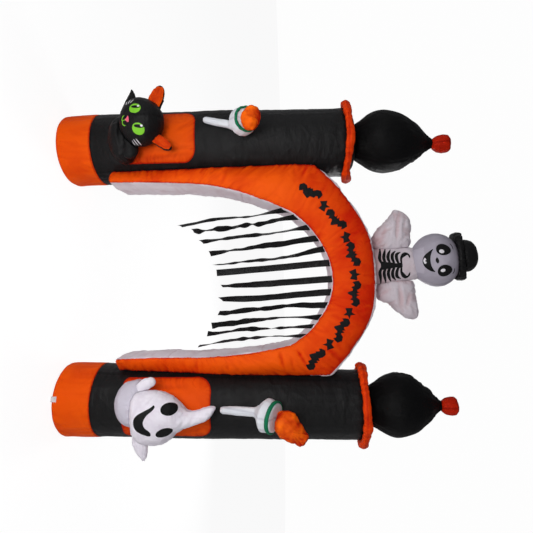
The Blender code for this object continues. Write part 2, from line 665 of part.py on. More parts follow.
def make_hat(head):
    """A soft hat, tilted with the head: a brim that curls up at its sides, and a low crown."""
    centre = Vector((-0.076, -0.012, 2.603))
    tilt = Matrix.Rotation(math.radians(-5), 3, "Y") @ Matrix.Rotation(math.radians(4), 3, "X")
    reach, thick, lobe = 0.160, 0.038, 0.040
    shares = ((0.30, 0.5), (0.80, 0.5), (0.95, 0.4), (1.0, 0.0), (0.95, -0.4), (0.80, -0.5), (0.30, -0.5))

    def curled(point):
        """Fattens the brim into a lobe at each side, lifts those, and tilts the brim with the head."""
        out = math.hypot(point.x, point.y) / reach
        side = abs(point.x) / (out * reach) if out > 0 else 0
        high = point.z * (1 + lobe / thick * side**3 * out**4) + 0.010 * (2 * side**2 - 1) * out**3
        return tilt @ Vector((point.x, 0.92 * point.y, high)) + centre

    profile = [(reach * out, thick * up) for out, up in shares]
    brim = seat(turned("hat_brim", profile, 20, "black_cloth", curled), head)

    up = tilt @ Vector((0, 0, 1))
    heights = (0.000, 0.030, 0.062, 0.088, 0.106, 0.116, 0.120)
    radii = (0.104, 0.108, 0.106, 0.096, 0.074, 0.042, 0.016)
    crown = limb("hat_crown", [centre + up * h for h in heights], radii, radii, "black_cloth", sides=16)
    seat(crown, brim)


def make_ground_tab(column, base):
    """The folded webbing tab at the front of the foot band, for a ground stake."""
    wide, tall, thick = 0.034, 0.040, 0.003
    angle = math.radians(-12)
    bm = bmesh.new()
    bmesh.ops.create_cube(bm, size=1.0)
    out = column.foot_r + 0.001
    turn = Matrix.Rotation(angle, 3, "Z")
    for vert in bm.verts:
        at = Vector((vert.co.x * wide, -out + vert.co.y * thick * 2, 0.0005 + tall * (vert.co.z + 0.5)))
        vert.co = turn @ at + Vector((column.foot_x, 0, 0))
    return seat(piece_of("ground_tab", as_mesh("ground_tab", bm), "webbing"), base)


# Assembly
def make_column(column):
    base = make_base(column)
    shaft = make_shaft(column)
    make_collar(column, shaft)
    make_bulb(column)
    make_knob(column)
    make_window(column, shaft)
    return base, shaft


left_base, left_shaft = make_column(COLUMNS[0])
right_base, right_shaft = make_column(COLUMNS[1])
body = seat(make_arch_body(), left_shaft, right_shaft)
front = seat(make_arch_front(), left_shaft, right_shaft)
for index, streamer in enumerate(STREAMERS, start=1):
    make_streamer(index, streamer, body)
make_torch(TORCHES[0], FLAMES[0], left_shaft)
make_torch(TORCHES[1], FLAMES[1], right_shaft)
make_cat(left_shaft, left_base)
make_ghost(right_shaft, right_base)
make_skeleton(body, front)
make_ground_tab(COLUMNS[1], right_base)
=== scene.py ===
# %% [markdown]
# # An inflatable yard arch
# The real thing is a bag of thin nylon that a small fan keeps full of air: two round columns, an arch
# sewn between them, and a few small figures. It is 2.72 m tall. The frame that is loaded here holds its
# plain solids in metres. Each cell below makes the finer form of one of them, in the same place, with
# the seams, puckers and creases that air and stitching give thin cloth.

# %% Load the frame
import itertools
import math

import bmesh
import bpy
import numpy as np
from mathutils import Matrix, Vector
from mathutils.bvhtree import BVHTree


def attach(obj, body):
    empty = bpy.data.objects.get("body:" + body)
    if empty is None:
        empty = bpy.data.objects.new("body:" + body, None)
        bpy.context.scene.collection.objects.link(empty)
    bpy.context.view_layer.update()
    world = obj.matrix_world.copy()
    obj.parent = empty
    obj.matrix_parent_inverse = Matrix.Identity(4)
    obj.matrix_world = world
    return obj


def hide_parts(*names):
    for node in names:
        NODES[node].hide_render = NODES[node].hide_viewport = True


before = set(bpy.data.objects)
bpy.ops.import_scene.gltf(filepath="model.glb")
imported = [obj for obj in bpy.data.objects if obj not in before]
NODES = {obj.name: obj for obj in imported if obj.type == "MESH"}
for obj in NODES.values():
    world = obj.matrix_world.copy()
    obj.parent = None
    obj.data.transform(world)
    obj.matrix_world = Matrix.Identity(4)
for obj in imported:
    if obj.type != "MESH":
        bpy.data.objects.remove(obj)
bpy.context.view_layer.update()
SCENE = bpy.context.scene
MID_Y = 0.105
print("solids in the frame:", len(NODES))

# %% [markdown]
# The camera comes first, because every later choice is judged through it. It stands 2.9 m in front of
# the arch at eye height, looks down a little, and is turned on its side, so the arch's foot is at the
# left of the frame. A wide 29 mm lens gives the columns the lean that they show from this close.


# %% The camera
def add_camera():
    yaw = math.radians(3.15)
    down = math.radians(4.41)
    roll = math.radians(-0.96)
    ahead = Vector((-math.sin(yaw) * math.cos(down), math.cos(yaw) * math.cos(down), -math.sin(down)))
    level = Vector((math.cos(yaw), math.sin(yaw), 0))
    over = level.cross(ahead)
    right = math.cos(roll) * level + math.sin(roll) * over
    up = -math.sin(roll) * level + math.cos(roll) * over
    data = bpy.data.cameras.new("camera")
    data.sensor_width = 36
    data.lens = 36 * 430 / 533
    camera = bpy.data.objects.new("camera", data)
    SCENE.collection.objects.link(camera)
    turned = Matrix((up, -right, -ahead)).transposed().to_4x4()
    camera.matrix_world = Matrix.Translation((0.1245, -2.884 + MID_Y, 1.5855)) @ turned
    SCENE.camera = camera
    return camera


add_camera()

# %% [markdown]
# Cloth is never smooth, so most cells need a smooth random number that depends on a place alone. This
# one gives each corner of a grid of cells a fixed number, and blends between the eight corners round a
# point. The same place always gives the same number, so every run makes the same folds.


# %% Smooth noise
def noise_at(x, y, z, seed=0):
    """Smooth noise from -1 to 1, one cell to a unit. x, y and z are arrays or numbers."""
    x, y, z = np.broadcast_arrays(np.asarray(x, float), y, z)
    points = np.stack((x, y, z), axis=-1)
    cell = np.floor(points).astype(np.int64)
    part = points - cell
    part = part * part * (3 - 2 * part)
    total = np.zeros(x.shape)
    for corner in itertools.product((0, 1), repeat=3):
        i, j, k = (cell[..., n] + corner[n] for n in range(3))
        mixed = (i * 73856093) ^ (j * 19349663) ^ (k * 83492791) ^ (seed * 50331653 + 97)
        mixed = ((mixed ^ (mixed >> 13)) * 1274126177) & 0x7FFFFFFF
        value = ((mixed ^ (mixed >> 15)) & 0xFFFF) / 32767.5 - 1
        weight = np.ones(x.shape)
        for n in range(3):
            weight = weight * (part[..., n] if corner[n] else 1 - part[..., n])
        total += value * weight
    return total


def fold_at(x, y, z, seed=0):
    """Rounded ridges with sharp valleys between them, as air makes of slack cloth: from -1 to 1."""
    return 2.6 * np.abs(noise_at(x, y, z, seed)) - 0.8


# %% [markdown]
# Most pieces begin as a grid of points: rows up or along the piece, and points round each row. Skinning
# such a grid gives clean four-sided faces. The ends are closed with a fan, so every shell is shut, as an
# air chamber is.


# %% Curves and skins
def through(rows, count):
    """Points on a smooth curve through rows of numbers, with an equal share of them to each interval."""
    rows = np.array(rows, float)
    place = np.linspace(0, len(rows) - 1, count)
    i = np.minimum(place.astype(int), len(rows) - 2)
    t = (place - i)[:, None]
    a, b, c = rows[np.maximum(i - 1, 0)], rows[i], rows[i + 1]
    d = rows[np.minimum(i + 2, len(rows) - 1)]
    return 0.5 * (2 * b + (c - a) * t + (2 * a - 5 * b + 4 * c - d) * t**2 + (3 * b - a - 3 * c + d) * t**3)


def evenly(points, count):
    """The same curve at even steps of length, and how far along it each new point is."""
    steps = np.linalg.norm(np.diff(points, axis=0), axis=1)
    run = np.concatenate(([0], np.cumsum(steps)))
    place = np.linspace(0, run[-1], count)
    return np.stack([np.interp(place, run, points[:, n]) for n in range(points.shape[1])], axis=1), place


def skin(name, grid, shut=True):
    """A mesh through a (rows, around, 3) grid that closes round each row, with a fan over each end."""
    rows, around, _ = grid.shape
    index = np.arange(rows * around).reshape(rows, around)
    after = np.roll(index, -1, axis=1)
    quads = np.stack((index[:-1], after[:-1], after[1:], index[1:]), axis=-1)
    faces = quads.reshape(-1, 4).tolist()
    points = grid.reshape(-1, 3).tolist()
    if shut:
        for row, order in ((0, -1), (rows - 1, 1)):
            middle = len(points)
            points.append(grid[row].mean(axis=0).tolist())
            for i, j in zip(index[row].tolist(), after[row].tolist()):
                faces.append([i, j, middle][::order])
    mesh = bpy.data.meshes.new(name)
    mesh.from_pydata(points, [], faces)
    face_out(mesh)
    return mesh


def face_out(mesh):
    """Turns every face outwards."""
    bm = bmesh.new()
    bm.from_mesh(mesh)
    bmesh.ops.recalc_face_normals(bm, faces=bm.faces)
    bm.to_mesh(mesh)
    bm.free()
    mesh.shade_smooth()


def corners_of(mesh):
    points = np.zeros(len(mesh.vertices) * 3)
    mesh.vertices.foreach_get("co", points)
    return points.reshape(-1, 3)


def normals_of(mesh):
    ways = np.zeros(len(mesh.vertices) * 3)
    mesh.vertex_normals.foreach_get("vector", ways)
    return ways.reshape(-1, 3)


def move_to(mesh, points):
    mesh.vertices.foreach_set("co", np.ascontiguousarray(points, float).ravel())
    mesh.update()


def push(mesh, relief):
    """Moves each corner along its normal by its relief, in metres."""
    move_to(mesh, corners_of(mesh) + normals_of(mesh) * relief[:, None])


def paint(mesh, name, values):
    """Keeps one number for each corner, which a material reads by its name."""
    layer = mesh.attributes.new(name, "FLOAT", "POINT")
    layer.data.foreach_set("value", np.ascontiguousarray(values, np.float32))


# %% [markdown]
# Where two panels are sewn, the thread pulls the cloth into a groove, and the cloth on both sides stands
# in short folds across the seam. They are strongest at the stitches and gone about a hand's width away.
# Each piece tells this function how far its points are from a seam, and how far along it.


# %% Seams and creases
def beside_seam(apart, along, seed, reach=0.045, width=0.013, depth=0.0022, pinch=0.0018):
    """The relief beside one seam, in metres."""
    apart = np.abs(apart)
    slant = along / width + 3.0 * noise_at(along / 0.10, apart / 0.10, seed, seed + 1) * apart / reach
    folds = fold_at(slant, apart / 0.16, seed, seed)
    uneven = 0.65 + 0.35 * noise_at(along / 0.07, seed, 3.3, seed + 2)
    return depth * uneven * folds * np.exp(-((apart / reach) ** 1.4)) - pinch * np.exp(-((apart / 0.006) ** 2))


def near_seam(apart, wide=0.010):
    """1 at the stitches, falling to 0 beside them."""
    return np.exp(-((apart / wide) ** 2))


def creases(points, lines):
    """Troughs, seen from the front: each has two ends (x, z), a depth and a half width."""
    relief = np.zeros(len(points))
    for (x0, z0), (x1, z1), depth, half in lines:
        way = np.array((x1 - x0, z1 - z0))
        length = np.linalg.norm(way)
        from_start = points[:, (0, 2)] - (x0, z0)
        share = np.clip(from_start @ way / length**2, 0, 1)
        bent = 0.35 * half * noise_at(share * length / 0.02, x0 * 50, z0 * 50, 5)
        apart = np.linalg.norm(from_start - share[:, None] * way, axis=1) + bent
        taper = np.sin(math.pi * np.clip(0.08 + 0.84 * share, 0, 1))
        valley = -np.exp(-((apart / half) ** 2)) + 0.45 * np.exp(-(((apart - 2.1 * half) / half) ** 2))
        relief += depth * taper * valley
    return relief


# %% [markdown]
# ## The cloth
# Every panel is the same light nylon in another dye. Three shader groups give all of them what they
# share: the grain of its threads, the fine crumple of cloth that has been packed, and a dye that is a
# little uneven at random, with painted shade mixed in beside seams and in creases. Each material places
# the groups with its own numbers. What is the same all over stays on the shader itself.


# %% Shader groups
def new_group(name, inputs, outputs):
    """An empty shader group with named sockets, and its first and last nodes."""
    group = bpy.data.node_groups.new(name, "ShaderNodeTree")
    for label, kind, value in inputs:
        socket = group.interface.new_socket(label, in_out="INPUT", socket_type=kind)
        if value is not None:
            socket.default_value = value
    for label, kind in outputs:
        group.interface.new_socket(label, in_out="OUTPUT", socket_type=kind)
    return group, group.nodes.new("NodeGroupInput"), group.nodes.new("NodeGroupOutput")


def calculate(tree, operation, first, second=None):
    """A Math node. Each of its two inputs is a socket or a number."""
    node = tree.nodes.new("ShaderNodeMath")
    node.operation = operation
    for socket, value in zip(node.inputs, (first, second)):
        if isinstance(value, bpy.types.NodeSocket):
            tree.links.new(value, socket)
        elif value is not None:
            socket.default_value = value
    return node.outputs[0]


def blend_colour(tree, share, first, second, mode="MIX"):
    node = tree.nodes.new("ShaderNodeMix")
    node.data_type = "RGBA"
    node.blend_type = mode
    for socket, value in ((node.inputs[0], share), (node.inputs[6], first), (node.inputs[7], second)):
        if isinstance(value, bpy.types.NodeSocket):
            tree.links.new(value, socket)
        else:
            socket.default_value = value
    return node.outputs[2]


def noise_node(tree, vector, scale, detail=3.0, distortion=0.0):
    node = tree.nodes.new("ShaderNodeTexNoise")
    node.inputs["Scale"].default_value = scale
    node.inputs["Detail"].default_value = detail
    node.inputs["Distortion"].default_value = distortion
    tree.links.new(vector, node.inputs["Vector"])
    return node.outputs["Fac"]


def build_thread_grain():
    """Two crossing sets of fine threads."""
    group, start, end = new_group(
        "thread_grain",
        (("Vector", "NodeSocketVector", None), ("Threads per metre", "NodeSocketFloat", 900.0)),
        (("Height", "NodeSocketFloat"),),
    )
    sized = group.nodes.new("ShaderNodeVectorMath")
    sized.operation = "SCALE"
    group.links.new(start.outputs["Vector"], sized.inputs[0])
    group.links.new(start.outputs["Threads per metre"], sized.inputs["Scale"])
    parts = group.nodes.new("ShaderNodeSeparateXYZ")
    group.links.new(sized.outputs[0], parts.inputs[0])
    level = calculate(group, "SINE", calculate(group, "MULTIPLY", parts.outputs["Z"], 2 * math.pi))
    across = calculate(group, "ADD", parts.outputs["X"], parts.outputs["Y"])
    upright = calculate(group, "SINE", calculate(group, "MULTIPLY", across, 2 * math.pi))
    both = calculate(group, "MULTIPLY", calculate(group, "ADD", level, upright), 0.25)
    group.links.new(calculate(group, "ADD", both, 0.5), end.inputs["Height"])
    return group


def build_packed_crumple():
    """Long soft ripples with a net of faint fold lines over them."""
    group, start, end = new_group(
        "packed_crumple",
        (("Vector", "NodeSocketVector", None), ("Ripples", "NodeSocketFloat", 22.0),
         ("Fold lines", "NodeSocketFloat", 9.0), ("Stretch", "NodeSocketVector", (1.0, 1.0, 1.0))),
        (("Height", "NodeSocketFloat"), ("Fold", "NodeSocketFloat")),
    )
    shaped = group.nodes.new("ShaderNodeVectorMath")
    shaped.operation = "MULTIPLY"
    group.links.new(start.outputs["Vector"], shaped.inputs[0])
    group.links.new(start.outputs["Stretch"], shaped.inputs[1])
    ripple = noise_node(group, shaped.outputs[0], 1.0, 4.0, 0.6)
    group.links.new(start.outputs["Ripples"], ripple.node.inputs["Scale"])
    bent = group.nodes.new("ShaderNodeVectorMath")
    bent.operation = "MULTIPLY_ADD"
    sway = group.nodes.new("ShaderNodeTexNoise")
    sway.inputs["Scale"].default_value = 6.0
    group.links.new(start.outputs["Vector"], sway.inputs["Vector"])
    group.links.new(sway.outputs["Color"], bent.inputs[0])
    bent.inputs[1].default_value = (0.10, 0.10, 0.10)
    group.links.new(start.outputs["Vector"], bent.inputs[2])
    cells = group.nodes.new("ShaderNodeTexVoronoi")
    cells.feature = "DISTANCE_TO_EDGE"
    group.links.new(bent.outputs[0], cells.inputs["Vector"])
    group.links.new(start.outputs["Fold lines"], cells.inputs["Scale"])
    edge = calculate(group, "MULTIPLY", cells.outputs["Distance"], 7.0)
    line = calculate(group, "SUBTRACT", 1.0, calculate(group, "MINIMUM", edge, 1.0))
    faint = calculate(group, "MULTIPLY", line, 0.35)
    group.links.new(calculate(group, "ADD", ripple, faint), end.inputs["Height"])
    group.links.new(line, end.inputs["Fold"])
    return group


def build_dye_and_painted_shade():
    """A dye that varies over the cloth at random, with painted shade beside seams and in creases, and is worn on
    its folds.
    """
    group, start, end = new_group(
        "dye_and_painted_shade",
        (("Vector", "NodeSocketVector", None), ("Dye", "NodeSocketColor", (1, 1, 1, 1)),
         ("Deep and shaded dye", "NodeSocketColor", (0.5, 0.5, 0.5, 1)), ("Seam", "NodeSocketFloat", 0.0),
         ("Painted light and shade", "NodeSocketFloat", 0.0), ("Fold", "NodeSocketFloat", 0.0),
         ("Mottle", "NodeSocketFloat", 0.25)),
        (("Color", "NodeSocketColor"), ("Wear", "NodeSocketFloat")),
    )
    cloud = noise_node(group, start.outputs["Vector"], 4.0, 3.0)
    speck = noise_node(group, start.outputs["Vector"], 60.0, 2.0)
    soft = calculate(group, "ADD", calculate(group, "MULTIPLY", cloud, 0.8),
                     calculate(group, "MULTIPLY", speck, 0.2))
    share = calculate(group, "MULTIPLY", soft, start.outputs["Mottle"])
    # Painted shade: darker along seams and in creases, a little lighter on ridges.
    share = calculate(group, "ADD", share, calculate(group, "MULTIPLY", start.outputs["Seam"], 0.55))
    share = calculate(group, "ADD", share, start.outputs["Painted light and shade"])
    share = calculate(group, "MINIMUM", calculate(group, "MAXIMUM", share, 0.0), 1.0)
    colour = blend_colour(group, share, start.outputs["Dye"], start.outputs["Deep and shaded dye"])
    group.links.new(colour, end.inputs["Color"])
    worn = calculate(group, "ADD", calculate(group, "MULTIPLY", start.outputs["Fold"], 0.10), share)
    group.links.new(worn, end.inputs["Wear"])
    return group


THREAD_GRAIN = build_thread_grain()
PACKED_CRUMPLE = build_packed_crumple()
DYE_AND_PAINTED_SHADE = build_dye_and_painted_shade()


# %% [markdown]
# The materials. Orange nylon lets light through. Its red beside seams and in creases is painted shade,
# put into the dye. Black nylon is satin, and shows its folds as grey streaks. The white is a cool lilac.


# %% Materials
def nylon(name, dye, deep, rough=0.5, gloss=0.15, bump=0.5, ripples=22.0, lines=9.0, mottle=0.25,
          stretch=(1.0, 1.0, 1.0)):
    """A cloth material: dye and painted shade on Base Color, wear on Roughness, grain and crumple on a Bump
    node.
    """
    made = bpy.data.materials.new(name)
    made.use_nodes = True
    tree = made.node_tree
    shader = tree.nodes["Principled BSDF"]
    shader.inputs["Specular IOR Level"].default_value = gloss
    place = tree.nodes.new("ShaderNodeTexCoord").outputs["Object"]
    crumple = tree.nodes.new("ShaderNodeGroup")
    crumple.node_tree = PACKED_CRUMPLE
    crumple.inputs["Ripples"].default_value = ripples
    crumple.inputs["Fold lines"].default_value = lines
    crumple.inputs["Stretch"].default_value = stretch
    grain = tree.nodes.new("ShaderNodeGroup")
    grain.node_tree = THREAD_GRAIN
    dyed_and_shaded = tree.nodes.new("ShaderNodeGroup")
    dyed_and_shaded.node_tree = DYE_AND_PAINTED_SHADE
    dyed_and_shaded.inputs["Dye"].default_value = (*dye, 1)
    dyed_and_shaded.inputs["Deep and shaded dye"].default_value = (*deep, 1)
    dyed_and_shaded.inputs["Mottle"].default_value = mottle
    for group in (crumple, grain, dyed_and_shaded):
        tree.links.new(place, group.inputs["Vector"])
    # Two painted layers: shade along seams, and shade in creases with a little light on ridges.
    for socket, layer in (("Seam", "seam"), ("Painted light and shade", "painted_light_and_shade")):
        read = tree.nodes.new("ShaderNodeAttribute")
        read.attribute_name = layer
        tree.links.new(read.outputs["Fac"], dyed_and_shaded.inputs[socket])
    tree.links.new(crumple.outputs["Fold"], dyed_and_shaded.inputs["Fold"])
    tree.links.new(dyed_and_shaded.outputs["Color"], shader.inputs["Base Color"])
    wear = calculate(tree, "MULTIPLY", dyed_and_shaded.outputs["Wear"], 0.25)
    tree.links.new(calculate(tree, "ADD", wear, rough), shader.inputs["Roughness"])
    height = calculate(tree, "ADD", crumple.outputs["Height"],
                       calculate(tree, "MULTIPLY", grain.outputs["Height"], 0.06))
    raise_node = tree.nodes.new("ShaderNodeBump")
    raise_node.inputs["Strength"].default_value = bump
    raise_node.inputs["Distance"].default_value = 0.004
    tree.links.new(height, raise_node.inputs["Height"])
    tree.links.new(raise_node.outputs["Normal"], shader.inputs["Normal"])
    return made


ORANGE = nylon("orange_nylon", (0.90, 0.100, 0.0015), (0.62, 0.016, 0.001), 0.52, 0.07, 0.9, 24.0, 9.0, 0.32)
WINDOW_ORANGE = nylon("window_nylon", (0.86, 0.094, 0.0015), (0.46, 0.016, 0.001), 0.50, 0.07, 0.6, 26.0,
                      10.0)
BLACK = nylon("black_nylon", (0.0056, 0.0055, 0.0058), (0.0020, 0.0020, 0.0022), 0.42, 0.17, 1.0, 18.0, 8.0,
              0.3, (1.0, 1.0, 2.2))
# A darker copy of the black nylon for the bulbs: painted shade, as they are darker at the top of the columns.
SHADED_BLACK = nylon("shaded_black_nylon", (0.0028, 0.0028, 0.0030), (0.0014, 0.0014, 0.0016), 0.42, 0.11, 1.0,
                   18.0, 8.0)
WHITE = nylon("white_nylon", (0.84, 0.75, 0.80), (0.62, 0.46, 0.50), 0.50, 0.12, 0.8, 26.0, 11.0)
CHEST = nylon("chest_nylon", (0.64, 0.575, 0.62), (0.56, 0.38, 0.40), 0.50, 0.12, 0.9, 30.0, 12.0)
SKULL = nylon("skull_nylon", (0.46, 0.43, 0.50), (0.26, 0.24, 0.29), 0.50, 0.12)
GHOST = nylon("ghost_nylon", (0.82, 0.78, 0.85), (0.60, 0.53, 0.63), 0.50, 0.12, 0.8, 26.0, 11.0)
# A darker copy of the ghost's nylon for its body: painted shade, as the body is darker than the head.
GHOST_PAINTED_SHADE = nylon("ghost_painted_shade_nylon", (0.60, 0.57, 0.65), (0.44, 0.40, 0.48), 0.50, 0.12, 0.8, 26.0, 11.0)
RING_RED = nylon("ring_nylon", (0.80, 0.052, 0.002), (0.46, 0.012, 0.001), 0.50, 0.07, 0.6, 34.0, 14.0)
EMBER = nylon("ember_nylon", (0.54, 0.017, 0.002), (0.24, 0.004, 0.001), 0.50, 0.07, 0.6, 34.0, 14.0)
FLAME = nylon("flame_nylon", (0.98, 0.150, 0.004), (0.50, 0.012, 0.001), 0.50, 0.07, 0.6, 34.0, 14.0)
GREEN = nylon("green_nylon", (0.006, 0.17, 0.075), (0.003, 0.08, 0.035), 0.5, 0.12, 0.4, 40.0, 20.0)
CUP_WHITE = nylon("cup_nylon", (0.74, 0.76, 0.80), (0.50, 0.50, 0.56), 0.50, 0.12)
WEBBING = nylon("webbing", (0.74, 0.72, 0.74), (0.45, 0.42, 0.44), 0.7, 0.15, 0.8, 60.0, 30.0)


# %% [markdown]
# Printed shapes and thread have materials of their own: ink fills the weave a little, so it is smoother
# than the cloth, and thread is duller.


# %% Ink and thread
def ink(name, dye, deep, rough=0.45):
    return nylon(name, dye, deep, rough, 0.12, 0.25, 30.0, 12.0, 0.35)


BLACK_INK = ink("black_ink", (0.0075, 0.0075, 0.0080), (0.003, 0.003, 0.003))
WHITE_INK = ink("white_ink", (0.80, 0.78, 0.82), (0.6, 0.58, 0.62))
GREEN_INK = ink("green_ink", (0.22, 0.60, 0.035), (0.12, 0.42, 0.02))
PINK_INK = ink("pink_ink", (0.84, 0.13, 0.22), (0.60, 0.06, 0.12))
THREAD = nylon("thread", (0.42, 0.045, 0.01), (0.16, 0.02, 0.01), 0.7, 0.1, 0.3, 80.0, 40.0)
DARK_THREAD = nylon("dark_thread", (0.030, 0.030, 0.033), (0.01, 0.01, 0.012), 0.7, 0.1, 0.3, 80.0, 40.0)


# %% [markdown]
# Every finished piece goes through one function: it joins the scene, takes its material, rides on the
# frame's one body, and stands for the solids it replaces.


# %% Finishing a piece
def piece(name, mesh, finish, slot, *nodes):
    made = bpy.data.objects.new(name, mesh)
    SCENE.collection.objects.link(made)
    mesh.materials.clear()
    mesh.materials.append(finish)
    # Empty layers of painted shade for a piece that has none.
    for layer in ("seam", "painted_light_and_shade"):
        if layer not in mesh.attributes:
            paint(mesh, layer, np.zeros(len(mesh.vertices)))
    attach(made, "root")
    if nodes:
        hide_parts(*nodes)
    return made


# %% [markdown]
# ## The columns
# Each column is an orange foot band, a black tube and a black onion-shaped bulb, sewn into one bag. The
# two aren't twins: the right one stands taller. The sizes below are the solids' own. A column leans a
# little, so its centre is worked out at each height.

# %% Column sizes
COLUMNS = {
    "left": dict(foot_x=-0.872, top_x=-0.860, foot_r=0.238, top_r=0.222, seam_z=0.235, collar_z=1.905,
                 neck_z=1.962, bulb_r=0.207, bulb_z=2.160, bulb_top=2.470, knob_top=2.588, lean=0.026,
                 window=(-1.046, -0.712, 0.435, 0.930), inward=1, belly=0.009),
    "right": dict(foot_x=0.848, top_x=0.874, foot_r=0.241, top_r=0.219, seam_z=0.252, collar_z=1.972,
                  neck_z=2.019, bulb_r=0.205, bulb_z=2.198, bulb_top=2.474, knob_top=2.574, lean=0.0,
                  window=(0.676, 1.042, 0.455, 1.022), inward=-1, belly=0.003),
}
NECK_RADIUS = 0.115
# corners round a tube and round a foot band
COLUMN_AROUND = 190


def axis_x(column, z):
    return column["foot_x"] + (column["top_x"] - column["foot_x"]) * z / column["collar_z"]


def turned_grid(profile, around, rows, centre_x):
    """Points of a turned shape, and for each point its angle, its height and how far round and up it is."""
    outline, up = evenly(np.array(profile, float), rows)
    angle = np.linspace(-math.pi, math.pi, around, endpoint=False)
    radius = outline[:, 0][:, None] * np.ones(around)
    z = outline[:, 1][:, None] * np.ones(around)
    x = centre_x(z) + radius * np.cos(angle)
    y = MID_Y + radius * np.sin(angle)
    return np.stack((x, y, z), axis=-1), radius * angle, up[:, None] * np.ones(around)


def with_ends(values, mesh):
    """Values for the grid's points, with the middle of each end added."""
    flat = values.reshape(-1)
    return np.concatenate((flat, np.full(len(mesh.vertices) - len(flat), flat.min() if flat.size else 0)))


# %% [markdown]
# The tube's seams run level at its foot and under the collar, and upright where the arch is sewn to it,
# in front and behind, and on its outer side. Short folds stand across all of them. Between them the
# cloth is drawn round the tube by the arch's pull, which leaves fine level creases over its front.


# %% Tubes
def upright_seams(column):
    """The angles of the tube's upright seams: the arch's two, and one on the outer side."""
    inward = column["inward"]
    front = math.radians(-36 if inward > 0 else -144)
    back = -front
    outer = math.pi if inward > 0 else 0.0
    return (front, back, outer)


def round_gap(angle, seam):
    """How far an angle is from a seam's angle, the short way round."""
    return np.abs((angle - seam + math.pi) % (2 * math.pi) - math.pi)


def tube_relief(column, angle, z, radius, seed):
    """The tube's relief and its nearness to a seam, at each angle and height."""
    around = radius * angle
    foot, top = np.abs(z - column["seam_z"]), np.abs(z - (column["collar_z"] - 0.012))
    relief = beside_seam(foot, around, seed, 0.05, 0.016, 0.0020)
    relief += beside_seam(top, around, seed + 5, 0.07, 0.016, 0.0026)
    seam = np.maximum(near_seam(foot), near_seam(top))
    for n, line in enumerate(upright_seams(column)):
        apart = radius * round_gap(angle, line)
        relief += beside_seam(apart, z, seed + 11 + n, 0.075 if n == 0 else 0.05, 0.015, 0.0026)
        seam = np.maximum(seam, near_seam(apart, 0.007))
    inner = math.radians(-60 if column["inward"] > 0 else -120)
    pull = np.exp(-(round_gap(angle, inner) / 0.75) ** 2)
    band = 0.5 + 0.5 * noise_at(z / 0.16, around / 0.5, 7.7, seed + 3)
    level = fold_at(z / 0.022 + 0.6 * noise_at(around / 0.08, z / 0.2, seed, 9), around / 0.15, 1.5, seed + 4)
    relief += 0.0026 * level * pull * band
    relief += 0.0030 * noise_at(around / 0.20, z / 0.28, 4.2, seed + 6)
    relief += 0.0010 * fold_at(around / 0.05, z / 0.35, 2.2, seed + 7)
    relief += 0.0009 * fold_at(around / 0.30, z / 0.060, 5.2, seed + 8)
    outer_side = np.clip(-column["inward"] * np.cos(angle), 0, 1)
    relief += column["belly"] * np.exp(-(((z - 0.95) / 0.38) ** 2)) * outer_side
    return relief, seam


def make_tube(side, column, seed):
    z0, z1, neck = column["seam_z"], column["collar_z"], column["neck_z"]
    rise = neck - z1
    foot_r, top_r = column["foot_r"], column["top_r"]
    straight = [(foot_r + (top_r - foot_r) * s, z0 + (z1 - z0) * s) for s in (0, 0.25, 0.5, 0.75)]
    shoulder = [(top_r, z1 - 0.02), (top_r * 0.93, z1 + 0.28 * rise), (top_r * 0.74, neck - 0.22 * rise),
                (NECK_RADIUS, neck)]
    grid, around, _ = turned_grid(straight + shoulder, COLUMN_AROUND, 160, lambda z: axis_x(column, z))
    z = grid[..., 2]
    radius = np.hypot(grid[..., 0] - axis_x(column, z), grid[..., 1] - MID_Y)
    angle = around / radius
    relief, seam = tube_relief(column, angle, z, radius, seed)
    settle = np.clip((neck - z) / 0.05, 0, 1) * np.clip((z - z0) / 0.01, 0.4, 1)
    mesh = skin("tube", grid)
    push(mesh, with_ends(relief * settle - 0.0008, mesh))
    paint(mesh, "seam", with_ends(seam, mesh))
    # Painted shade in the relief's troughs, and a little painted highlight on its ridges.
    paint(mesh, "painted_light_and_shade", with_ends(np.clip(-relief * 120, -0.15, 0.5), mesh))
    return piece(f"tube_{side}", mesh, BLACK, "black_cloth", f"shaft_{side}")


TUBES = {side: make_tube(side, column, 20 + 40 * n) for n, (side, column) in enumerate(COLUMNS.items())}
print("tubes:", [len(tube.data.polygons) for tube in TUBES.values()], "faces")

# %% [markdown]
# The foot band is a wide ring of orange over a flat sole. Its top puckers along the black tube's seam.
# Its lower edge is where the bag meets the ground: the air rounds it off, and the slack there falls into
# a row of uneven scallops.


